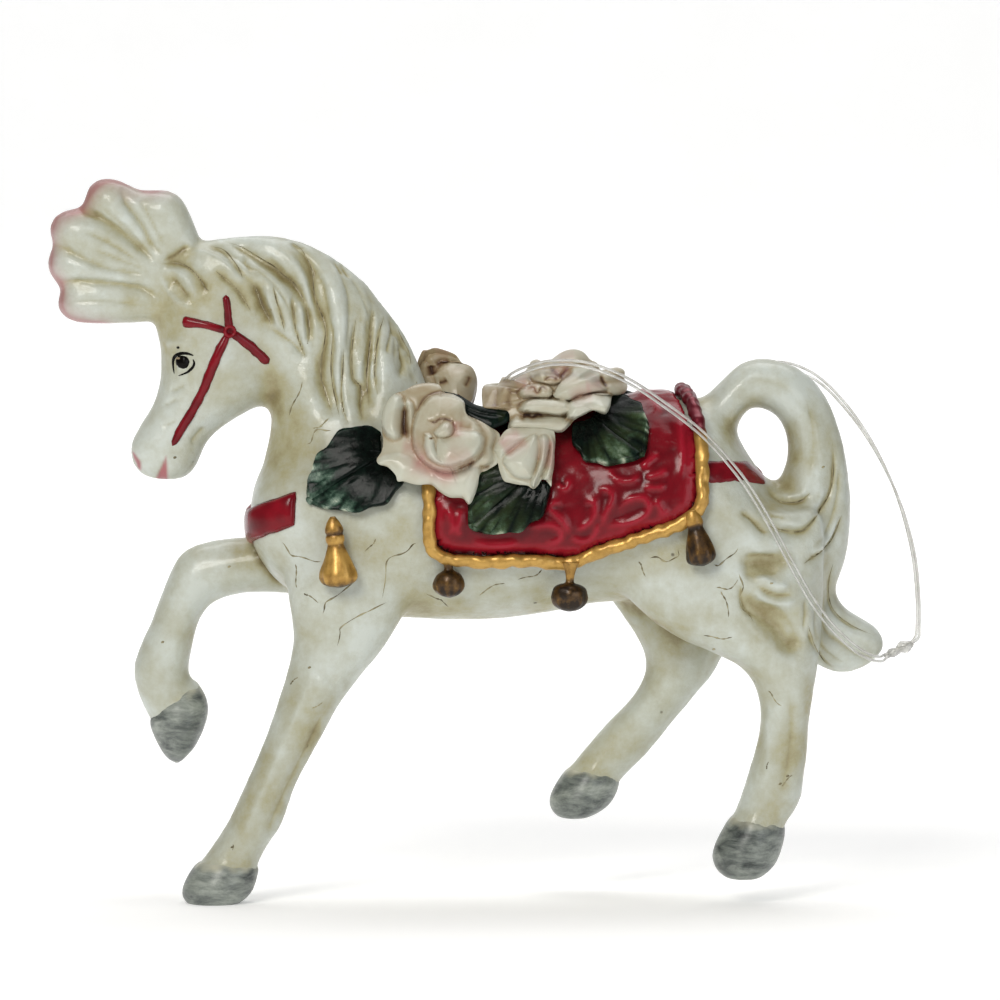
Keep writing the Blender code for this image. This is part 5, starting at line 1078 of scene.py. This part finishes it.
openRose = dict(
    centre=(-7, 54.4), base=(0.4, 1.2, 1, 0.2),
    outline=((-13.65, 56.2), (-13.55, 57.8), (-13, 59.2), (-12.1, 60.1), (-10.9, 60.5), (-9.9, 61.1),
        (-8.4, 61.4), (-6.9, 61.2), (-6.3, 60.3), (-5.2, 60.05), (-3.9, 59.2), (-3.6, 57.7), (-2.2, 57),
        (-0.9, 56.2), (0.3, 55.3), (0.2, 53.6), (0.2, 52), (-1.2, 51), (-2, 50.6), (-2.3, 49), (-2.9, 47.4),
        (-3.4, 47), (-4.1, 47.7), (-5.6, 47.8), (-6.8, 48.5), (-7.8, 49.3), (-9.5, 49.3), (-11, 49.7),
        (-11.7, 49.7), (-12, 50.5), (-12.9, 51.4), (-13.9, 51.7), (-14.2, 52.3), (-13.6, 53.3),
        (-13.45, 54.6)),
    petals=(
        (0.7, 1.6, 0.8, 0.04, ((-14.1, 52.3), (-13.2, 52.9), (-11.6, 53.6), (-9.6, 52.9), (-8, 51.6),
            (-7, 50.4), (-7.8, 49.4), (-9.5, 49.3), (-11, 49.7), (-11.8, 49.8), (-12.9, 51.4),
            (-13.9, 51.7))),
        (0.9, 1.9, 0.8, 0.04, ((-8, 51.2), (-6.4, 51.2), (-4.4, 51.4), (-2.4, 52.2), (-2, 51), (-2.3, 49.2),
            (-2.9, 47.5), (-3.4, 47.1), (-4.1, 47.8), (-5.6, 47.9), (-6.8, 48.6), (-7.8, 49.6))),
        (1, 1.6, 1, 0.46, ((-11.6, 60.2), (-10, 61), (-8.4, 61.3), (-6.9, 61.1), (-6.4, 60.2), (-8.4, 58.8),
            (-9.6, 57.6), (-10.4, 58.6))),
        (1.6, 2.6, 1, 0.34, ((-3.6, 57.6), (-2.2, 57), (-0.9, 56.2), (-0.3, 55.3), (-0.7, 53.6),
            (-0.6, 52.2), (-1.6, 51.4), (-3, 51.6), (-2.4, 53.5), (-2.6, 55.5))),
        (1.7, 3, 0.7, 0.12, ((-13.6, 56.2), (-13.5, 57.8), (-12.9, 59.2), (-12.1, 60), (-11.3, 59.6),
            (-11, 58.3), (-11.1, 57), (-11.25, 55.9), (-11.4, 55), (-12.2, 54.7), (-13, 55.2))),
        (1.5, 2.3, 0.5, 0.3, ((-10.75, 59.6), (-9.9, 58.6), (-9.8, 57.2), (-9.9, 55.4), (-10.3, 54.4),
            (-10.6, 56), (-10.75, 57.8))),
        (2.6, 4.2, 1.6, 0.32, ((-9.4, 57.8), (-8.3, 59.4), (-7, 60), (-5.3, 59.85), (-4, 59.2),
            (-3.5, 57.8), (-2.4, 56.6), (-1.6, 55.4), (-1.5, 54.2), (-1.9, 53), (-3, 52), (-4.5, 51.2),
            (-6, 50.9), (-7.6, 51.3), (-9, 52.4), (-9.8, 54), (-9.9, 56))),
        (4, 4.9, 1, 0.14, ((-7, 54.9), (-6, 54.75), (-5.1, 55.1), (-4.7, 55.6), (-3.4, 55.6), (-2.2, 55.5),
            (-1.7, 54.6), (-2, 53.4), (-3, 52.5), (-4.4, 51.8), (-5.8, 51.5), (-6.7, 52), (-7.1, 53.2))),
        (4.1, 4.7, 0.35, 0.1, ((-8.4, 55.3), (-7.9, 55.3), (-7.5, 54.8), (-7.3, 53.6), (-6.9, 52.6),
            (-6.2, 51.7), (-7.2, 51.9), (-8.1, 52.7), (-8.5, 54))),
        (4.4, 5.3, 0.5, 0.16, ((-7.45, 55.4), (-6.9, 56.1), (-6.1, 56.8), (-5.3, 56.6), (-5.1, 55.9),
            (-5.4, 55.2), (-6.2, 54.9), (-7, 54.95)))),
    cuts=(
        (0.8, 0.4, 0.6, ((-10.95, 58.8), (-11.1, 57.2), (-11, 56), (-10.7, 54.7))),
        (0.5, 0.3, 0.26, ((-8.4, 57.1), (-7.4, 56.7), (-6.7, 57.1), (-5.9, 57), (-5.1, 56.3),
            (-4.75, 55.2))),
        (0.2, 0.5, 0.24, ((-4.6, 56.2), (-3.8, 56.1), (-2.8, 56))),
        (0.3, 0.16, 0.4, ((-4.6, 51.2), (-3.6, 51.6), (-2.6, 52.2))),
        (0.2, 0.14, 0.3, ((-2.2, 51.5), (-1.4, 51.4), (-0.8, 51.5))),
        (0.3, 0.14, 0.7, ((-7.8, 54.9), (-7.75, 54.75), (-7.7, 54.6)))),
    pinks=(
        (0.75, 0.5, ((-10.2, 52.3), (-9, 51.6), (-7.6, 50.9), (-6, 50.5), (-4.4, 50.5))),
        (0.45, 0.6, ((-11.4, 53.8), (-10.2, 53.6), (-9.4, 52.8), (-8.4, 52))),
        (0.45, 0.4, ((-4.8, 57), (-4.7, 55.4), (-4.6, 54.8))),
        (0.3, 0.8, ((-6.2, 52.8), (-4.4, 52.4), (-2.8, 53.2)))))
tulipBud = dict(
    centre=(3.4, 52.8), base=(0.5, 1.2, 0.8, 0.14),
    outline=((-0.5, 53.4), (0.1, 54.5), (1.1, 55.8), (2.6, 56.3), (4.2, 56.6), (5.6, 56.6), (6.6, 56),
        (6.9, 54.6), (6.8, 53.2), (6.75, 51.6), (6.5, 50.2), (6.4, 49.1), (6, 49.7), (5.3, 49.9),
        (4.9, 49.3), (4.3, 48.8), (3.6, 49.2), (2.6, 49.3), (1.6, 49.5), (0.8, 49.8), (0.3, 51), (0, 52.3)),
    petals=(
        (0.6, 1.4, 0.6, 0.08, ((0.3, 52), (1, 51.6), (1.9, 50.4), (3.2, 50), (4, 49.4), (3.5, 49.2),
            (2.4, 49.4), (1.2, 49.7), (0.6, 50.4))),
        (0.8, 1.9, 0.7, 0.12, ((-0.4, 53.4), (0.1, 54.4), (1.1, 55.1), (2.6, 55.4), (4.2, 55.3), (3, 54.2),
            (1.4, 52.9), (0.4, 52.4))),
        (1, 2.2, 0.5, 0.16, ((6.2, 55.2), (6.8, 54.4), (6.75, 52.8), (6.6, 51), (6.2, 49.9), (5.4, 50),
            (5.8, 51.4), (6.2, 53))),
        (1.4, 2.9, 0.9, 0.06, ((0.9, 52.6), (2.2, 53.6), (3.6, 54.8), (4.6, 55.2), (5, 53.6), (4.7, 51.8),
            (4.2, 50.2), (3.4, 50), (2.2, 50.2), (1.4, 51), (0.8, 51.8))),
        (1.4, 2.8, 0.5, 0.1, ((4.9, 54.8), (5.6, 55.2), (6.2, 54.4), (6, 53), (5.6, 51.6), (4.9, 50),
            (4.3, 48.95), (4, 49.6), (4.5, 51), (4.9, 52.6)))),
    cuts=(
        (0.15, 0.2, 0.3, ((1, 52.6), (2.4, 53.7), (4.2, 54.9))),
        (0.2, 0.2, 0.3, ((5.1, 54.4), (5, 52.4), (4.3, 50.2))),
        (0.15, 0.2, 0.2, ((6.2, 54.6), (6.1, 52.8), (5.6, 50.6)))),
    pinks=(
        (0.65, 0.4, ((0.9, 52.8), (2.2, 53.8), (3.6, 54.7))),
        (0.5, 0.35, ((0.2, 54), (1.4, 54.9), (2.8, 55.3))),
        (0.5, 0.3, ((6.4, 54.9), (6.4, 53), (6.1, 51))),
        (0.3, 0.3, ((5.4, 55), (5.2, 53.4), (4.9, 52)))))
fullRose = dict(
    centre=(6.5, 60.2), base=(0.3, 1, 1.5, 0.34),
    outline=((-1.7, 58.5), (-1.8, 60.2), (-1.5, 61), (-0.9, 61.2), (-0.1, 60.9), (0.3, 61.5), (0.7, 62.1),
        (1.4, 62), (2.2, 62.3), (3.2, 62.7), (3.7, 63.3), (4.1, 64), (4.8, 64.2), (5.5, 63.9), (6.3, 64.1),
        (7.4, 64.9), (8.4, 65.35), (9.5, 65.4), (10.4, 65), (11.1, 64.2), (11.9, 63.8), (12.3, 63),
        (13, 62.8), (13.8, 63.2), (14.6, 63.2), (15.2, 62.8), (15.15, 62), (15.5, 61.1), (15.3, 60.4),
        (14.6, 59.95), (13.7, 59.9), (13.4, 58.6), (12.9, 57.7), (12.2, 57.8), (11.4, 58.1), (10.3, 57.6),
        (9.2, 57), (8.5, 56.2), (7.5, 55.5), (5.5, 55.8), (3.5, 55.9), (1.4, 55.9), (1.5, 57), (0.8, 57.9),
        (-0.6, 58.2)),
    petals=(
        (0.6, 1.3, 0.6, 0.6, ((-1.65, 58.4), (-1.75, 60.4), (-1.4, 61), (-0.9, 61.15), (-0.2, 60.8),
            (0, 59.8), (-0.3, 58.4))),
        (0.9, 1.6, 0.6, 0.54, ((-0.2, 58.2), (0.2, 60.4), (0.6, 62), (1.4, 61.9), (1.7, 60.8), (1.4, 59.4),
            (1.2, 58.4))),
        (0.8, 1.4, 0.6, 0.45, ((3.7, 62.8), (4, 63.8), (4.8, 64.15), (5.5, 63.85), (6, 63.2), (5, 62.8))),
        (1, 2, 0.8, 0.3, ((6.35, 64.1), (7.5, 64.9), (8.6, 65.35), (9.5, 65.35), (10.4, 64.95),
            (11.1, 64.1), (10, 63.7), (8.4, 63.4), (7, 63.6))),
        (0.7, 1.3, 0.5, 0.42, ((12.5, 62.7), (13.1, 62.8), (13.8, 63.15), (14.6, 63.15), (15.15, 62.75),
            (14.9, 62), (13.4, 62.2))),
        (1, 1.9, 0.7, 0.38, ((12, 62.6), (13.8, 62.6), (15.1, 61.9), (15.45, 61.1), (15.2, 60.4),
            (14.5, 60), (13.3, 60.1), (12.6, 61))),
        (1.2, 1.9, 0.7, 0.56, ((1.2, 61.2), (2.2, 62.2), (3.6, 62.6), (3.9, 61.4), (3, 60.6), (1.8, 60.4))),
        (1.6, 2.6, 0.8, 0.4, ((3.9, 62.6), (5, 62.9), (6.3, 63), (7.4, 62.4), (7.6, 61.6), (6.6, 61.2),
            (5.2, 61.4), (4.2, 61.8))),
        (1.8, 2.6, 0.4, 0.34, ((2.6, 60.3), (3.4, 61), (4.8, 61.3), (6.2, 61), (6.6, 60.2), (6, 59.6),
            (4.4, 59.7), (3, 59.7))),
        (1.4, 2.2, 0.5, 0.2, ((1.5, 56), (1.7, 56.9), (3, 57.3), (5, 57.2), (7, 57.4), (8.4, 56.9),
            (8.4, 56.2), (7.4, 55.6), (5.4, 55.85), (3.4, 55.95))),
        (2, 3.4, 1, 0.16, ((6.6, 60), (7.4, 61.3), (8.6, 62.4), (9.3, 63.2), (11, 63.4), (12, 62.7),
            (12.3, 61.6), (12.9, 60.6), (11, 60.2), (9.4, 59.7), (8.5, 59.3), (7, 59.5))),
        (2.2, 3.2, 0.6, 0.2, ((2.6, 58.1), (3.4, 59.2), (5, 59.5), (7, 59.4), (8.4, 59.2), (8.7, 58.2),
            (7.6, 57.6), (5.4, 57.8), (3.8, 57.9))),
        (2.4, 3.7, 0.9, 0.08, ((8.3, 57.2), (8.4, 58.8), (9.4, 59.5), (11.4, 60.1), (13, 60.1),
            (13.55, 59.6), (13.3, 58.4), (12.8, 57.75), (12.1, 57.9), (11.3, 58.1), (10.2, 57.6),
            (9.1, 57.1)))),
    cuts=(
        (0.5, 0.25, 0.5, ((6.1, 63.3), (6.8, 62.7), (7.5, 62.2), (8.2, 62.9), (8.8, 63.4))),
        (0.3, 0.2, 0.3, ((5.4, 61.6), (6.4, 62.1), (7.4, 61.6))),
        (0.3, 0.2, 0.4, ((12.2, 62.3), (12.6, 61.4), (13.1, 60.8))),
        (0.3, 0.16, 0.5, ((2.8, 57.7), (3, 57.1), (3.6, 57.6), (4.2, 57.2), (4.8, 57.7), (5.6, 57.3))),
        (0.3, 0.16, 0.4, ((3.4, 60.4), (4.2, 60.9), (4.8, 60.2), (5.4, 61), (6, 60.3)))),
    pinks=(
        (0.5, 0.5, ((10.4, 61), (11.6, 61.2), (12.4, 61.6))),
        (0.4, 0.5, ((8.6, 59.3), (10, 59.9), (11.4, 60.2))),
        (0.4, 0.5, ((6.8, 63.2), (7.6, 62.6), (8.4, 63.4))),
        (0.3, 0.6, ((7, 64.2), (8.2, 64.6), (9.4, 64.6))),
        (0.3, 0.5, ((2, 61.5), (2.8, 61.8), (3.6, 61.8))),
        (0.3, 0.5, ((3, 60.4), (4, 60.6), (5, 60.5)))))
backRose = dict(
    centre=(-5.8, 62), base=(0.3, 1.6, 1.4, 0.5),
    outline=((-9.4, 64.4), (-8.9, 65.4), (-8.3, 65.5), (-7.4, 65.75), (-6.2, 65.45), (-5.1, 65),
        (-4.6, 64.5), (-4.2, 63.95), (-3.5, 63.7), (-2.9, 63.3), (-2.45, 62.3), (-2.35, 61.4),
        (-2.45, 60.4), (-2.8, 59.1), (-3.4, 58), (-5.6, 57.6), (-8, 58.4), (-9.4, 60.4), (-9.8, 62.6)),
    petals=(
        (1, 2, 0.7, 0.52, ((-8.6, 65.2), (-7.4, 65.7), (-6.1, 65.4), (-5, 64.9), (-4.4, 64.2), (-5.6, 64.1),
            (-6.8, 64.1), (-7.6, 63.6), (-8.6, 64))),
        (1, 1.8, 0.6, 0.46, ((-9.6, 62.6), (-8.8, 64.2), (-8, 63.6), (-7.8, 62.4), (-7.2, 61.6),
            (-8.2, 60.6), (-9.2, 61))),
        (1.6, 3.2, 1.2, 0.36, ((-7.5, 62.4), (-6.8, 63.4), (-6, 63.9), (-4.6, 63.9), (-3.4, 63.6),
            (-2.7, 63), (-2.4, 62), (-2.5, 60.8), (-2.9, 59.4), (-3.6, 58.4), (-5.6, 58.4), (-6.8, 59.8),
            (-7.2, 61.4)))),
    cuts=(
        (0.6, 0.3, 0.5, ((-7.9, 63.7), (-7.8, 63), (-7.6, 62.4))),
        (0.3, 0.2, 0.5, ((-7, 61.5), (-6.4, 61.6), (-5.9, 61.9))),
        (0.2, 0.2, 0.4, ((-3.3, 62.4), (-3.5, 61.6), (-3.9, 61))),
        (0.3, 0.2, 0.4, ((-7.3, 63.6), (-6.6, 64), (-5.6, 64.1)))),
    pinks=(
        (0.15, 0.5, ((-7.6, 65.2), (-6.6, 65.1), (-5.6, 64.8))),))
tuckedLeaf = dict(
    centre=(-1.6, 57.7), base=(0.4, 0.9, 0.5, 0.2), finish=leafEnamel, slot="dark_green_enamel",
    outline=((-6.3, 60.4), (-4.6, 60), (-3.6, 59.4), (-2.4, 58.75), (-0.6, 58.4), (1.2, 58.2), (1.5, 57.4),
        (1.2, 56.7), (0.2, 56.2), (-0.8, 55.9), (-2.2, 56.6), (-3.6, 57.4), (-4.8, 58.4)),
    petals=(
        (0.5, 1, 0.4, 0.24, ((-4, 58.8), (-2.4, 58.4), (-0.4, 58), (1.1, 57.7), (0.2, 57.3),
            (-1.6, 57.6))),),
    cuts=(
        (0.2, 0.14, 0, ((-4.4, 58.8), (-2, 57.7), (1, 57.3))),),
    pinks=(
        (0.1, 0.3, ((0, 57.4), (0.6, 57.5), (1, 57.4))),))
flowers = {  # drawing, side, shift in x and z, size, how far in from the seat, middle of a two-sided one
    "near_rose": (openRose, nearSide, 0.0, 0.0, 1.0, 0.0, None),
    "near_bud": (tulipBud, nearSide, 0.0, 0.0, 1.0, 0.0, None),
    "withers_leaf": (tuckedLeaf, nearSide, 0.0, 0.0, 1.0, 0.6, None),
    "saddle_rose": (fullRose, nearSide, 0.0, 0.0, 1.0, 0.6, -2.0),
    "off_withers_rose": (backRose, nearSide, 0.0, 0.0, 1.0, 10.5, 4.0),
    "off_side_rose": (openRose, offSide, 2.0, -4.6, 0.82, 0.0, None),
    "off_bud": (tulipBud, offSide, 3.3, 0.0, 0.95, 0.0, None),
}
flowerShape = dict(around=240, rings=60, seatRadius=13.2, seatBend=6.5, sight=0.07, roundFrom=58.5,
                   roundRun=3, closed=0.85, heightRounds=2, toneRounds=3, seatRounds=12, creaseRounds=5,
                   creaseFull=0.10, crease=0.24, mottle=0.07,
                   backSteps=((1.0, 0.98), (2.0, 0.88), (2.5, 0.68)))


def cushion(flat, loop, rim, crown, fall):  # a rounded pad that starts at its rim
    gap, _ = lineDistance(flat, loop)
    return rim + (crown - rim) * (1 - np.exp(-gap / fall))


for number, (node, (drawing, side, moveX, moveZ, size, inset, middle)) in enumerate(flowers.items()):
    bm = bmesh.new()
    ring = smoothLine(drawing["outline"] + drawing["outline"][:1], 8)
    centre = np.array(drawing["centre"])
    bmesh.ops.create_grid(bm, x_segments=flowerShape["around"], y_segments=flowerShape["rings"], size=1.0)
    for vert in bm.verts:  # the grid goes round the middle, out to the outline
        turn = (vert.co.x + 1) / 2 * (len(ring) - 1)
        edge = np.array([np.interp(turn, np.arange(len(ring)), ring[:, k]) for k in (0, 1)])
        x, z = centre + (edge - centre) * (vert.co.y + 1) / 2
        vert.co = spot(x, (vert.co.y + 1) / 2, z)
    bmesh.ops.remove_doubles(bm, verts=bm.verts, dist=0.002 * mm)
    name = node + ("_enamel" if "finish" in drawing else "_petals")
    flower = meshOf(bm, name)
    points, _ = readPoints(flower)
    flat, spread = points[:, [0, 2]], points[:, 1]
    rim, crown, fall, shade = drawing["base"]
    height = cushion(flat, ring, rim, crown, fall)
    tone = np.full(len(flat), shade, float)
    for rim, crown, fall, shade, line in drawing["petals"]:
        loop = smoothLine(line + line[:1], 5)
        grown = np.where(within(flat, loop), cushion(flat, loop, rim, crown, fall), 0)
        tone[grown > height] = shade
        height = np.maximum(height, grown)
    deep = [(depth, width, line) for depth, width, _, line in drawing["cuts"]]
    brown = [(rub, width, line) for _, width, rub, line in drawing["cuts"]]
    height = settled(flower, height, flowerShape["heightRounds"]) - carve(flat, deep)
    tone = settled(flower, tone, flowerShape["toneRounds"]) + carve(flat, brown)
    pink = carve(flat, drawing["pinks"], skirt=0.6, fade=6)
    flat = centre + (moveX, moveZ) + (flat - centre) * size
    rise = flat[:, 1] - backAxis
    radius, bend = flowerShape["seatRadius"], flowerShape["seatBend"]
    chord = math.sqrt(radius ** 2 - bend ** 2)
    seat = np.where(rise < bend, np.sqrt(np.clip(radius ** 2 - rise ** 2, chord ** 2, None)),
                    chord - (rise - bend) * bend / chord)
    for k, (x, z) in enumerate(flat if inset < 5 else ()):  # never behind what it lies on
        hit, _ = seen(saddleTree, side, x, z + flowerShape["sight"] * seat[k])
        if hit is not None:
            seat[k] = max(seat[k], side * hit.y / mm)
    seat = settled(flower, seat, flowerShape["seatRounds"]) - inset + size * height
    if middle is not None:  # rounded over at the top, where both faces meet
        high = ramped(flat[:, 1], flowerShape["roundFrom"], flowerShape["roundRun"])
        seat = side * middle + (seat - side * middle) * (1 - flowerShape["closed"] * high * spread ** 4)
    points = np.stack([flat[:, 0], side * seat, flat[:, 1] + flowerShape["sight"] * seat], axis=1)
    writePoints(flower, points)
    _, normals = readPoints(flower)
    crease = hollowness(flower, flowerShape["creaseRounds"]) / flowerShape["creaseFull"]
    crease *= np.sign(side * normals[:, 1].mean())
    tone += flowerShape["crease"] * np.clip(crease, -0.4, 1.3)  # brown rub and painted shade in the creases
    mottle = speckle(points, 2.0, number)
    writeShade(flower, "washAndShade", tone + flowerShape["mottle"] * mottle)
    writeShade(flower, "blush", pink * (0.9 + 0.4 * mottle))
    bm = bmesh.new()
    bm.from_mesh(flower)
    if middle is None:  # a back that draws in towards the seat
        pivot = spot(centre[0] + moveX, 0, centre[1] + moveZ)
        for depth, share in flowerShape["backSteps"]:
            back = onlyVerts(bmesh.ops.extrude_edge_only(bm, edges=openEdges(bm))["geom"])
            bmesh.ops.scale(bm, vec=(share, 1, share), space=Matrix.Translation(-pivot), verts=back)
            bmesh.ops.translate(bm, vec=(0, -side * depth * mm, 0), verts=back)
        bmesh.ops.holes_fill(bm, edges=openEdges(bm))
    else:  # or the same face on the other side
        twin = bmesh.ops.duplicate(bm, geom=bm.verts[:] + bm.edges[:] + bm.faces[:])["geom"]
        for vert in onlyVerts(twin):
            vert.co.y = 2 * middle * mm - vert.co.y
        bmesh.ops.bridge_loops(bm, edges=openEdges(bm))
    bmesh.ops.recalc_face_normals(bm, faces=bm.faces)
    bm.to_mesh(flower)
    bm.free()
    flower.shade_smooth()
    finish, slot = drawing.get("finish", petalPaint), drawing.get("slot", "blush_ivory_petals")
    addPiece(name, flower, finish, (node,))
print("roses opened")


# Tassels: turned on an axis given in side view, at each CAD tassel's depth, with a grooved skirt

tasselShapes = {  # top and foot in side view, radius, then shares of length and radius with brown wash and painted shade
    "front_tassel": ((-5.8, 41.8), (-5.6, 36.7), 1.8, (
        (0.0, 0.3, 0.3), (0.08, 0.5, 0.25), (0.17, 0.42, 0.4), (0.26, 0.3, 0.5), (0.36, 0.34, 0.7),
        (0.46, 0.8, 0.75), (0.62, 1.0, 0.7), (0.8, 0.95, 0.75), (0.94, 0.6, 0.85), (1.0, 0.1, 0.9))),
    "middle_tassel": ((8.7, 41.0), (8.6, 35.1), 2.15, (
        (0.0, 0.5, 0.2), (0.12, 0.36, 0.3), (0.3, 0.24, 0.4), (0.42, 0.26, 0.8), (0.46, 0.6, 1.0),
        (0.54, 0.92, 0.9), (0.7, 1.0, 0.85), (0.86, 0.86, 0.9), (0.96, 0.5, 1.0), (1.0, 0.1, 1.0))),
    "rear_tassel": ((23.0, 47.2), (24.4, 40.6), 1.75, (
        (0.0, 0.3, 0.1), (0.1, 0.5, 0.15), (0.24, 0.6, 0.25), (0.32, 0.52, 0.9), (0.44, 0.66, 0.7),
        (0.7, 0.95, 0.75), (0.86, 1.0, 0.8), (0.95, 0.7, 0.9), (1.0, 0.12, 1.0))),
    "shoulder_tassel": ((-19.4, 46.4), (-18.5, 38.0), 2.15, (
        (0.0, 0.14, 0.4), (0.1, 0.4, 0.2), (0.2, 0.52, 0.5), (0.25, 0.46, 0.8), (0.29, 0.52, 0.1),
        (0.35, 0.5, 0.1), (0.4, 0.44, 0.5), (0.56, 0.68, 0.0), (0.76, 0.98, 0.05), (0.88, 1.0, 0.25),
        (0.96, 0.72, 0.6), (1.0, 0.12, 0.8))),
}
tassel = dict(sides=28, strands=9, groove=0.05, skirtFrom=0.45, rough=0.08, least=0.05, flat=0.75, washAndShade=0.04)
for shape, (top, foot, radius, profile) in tasselShapes.items():
    for label in ("near", "off"):
        node = label + "_" + shape
        low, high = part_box(node)
        depth = (low.y + high.y) / 2 / mm
        head = spot(top[0], depth, top[1])
        reach = spot(foot[0], depth, foot[1]) - head
        length = reach.length
        line = smoothLine([(s, r) for s, r, _ in profile], 3)
        bm = turned([(max(r, tassel["least"]) * radius * mm, -s * length) for s, r in line], tassel["sides"])
        painted = bm.verts.layers.float.new("washAndShade")
        for vert in bm.verts:
            share = -vert.co.z / length
            swing = math.atan2(vert.co.y, vert.co.x)
            skirt = min(max((share - tassel["skirtFrom"]) * 4, 0), 1)
            cut = tassel["groove"] * skirt * math.cos(tassel["strands"] * swing)
            cut += tassel["rough"] * noise.noise(vert.co / mm * 0.7)
            vert.co.x *= 1 - cut
            vert.co.y *= 1 - cut
            # darker towards the foot and down the skirt's grooves: brown wash and painted shade
            dark = np.interp(share, [p[0] for p in profile], [p[2] for p in profile])
            vert[painted] = tassel["washAndShade"] + dark + 2.5 * cut
        seat = (-reach).to_track_quat("Z", "X").to_matrix().to_4x4()
        bmesh.ops.transform(bm, matrix=Matrix.Translation(head) @ seat, verts=bm.verts)
        bmesh.ops.scale(bm, vec=(1, tassel["flat"], 1), space=Matrix.Translation(-head), verts=bm.verts)
        addPiece(node + "_gold", meshOf(bm, node + "_gold"), goldPaint, (node,))
print("tassels turned")
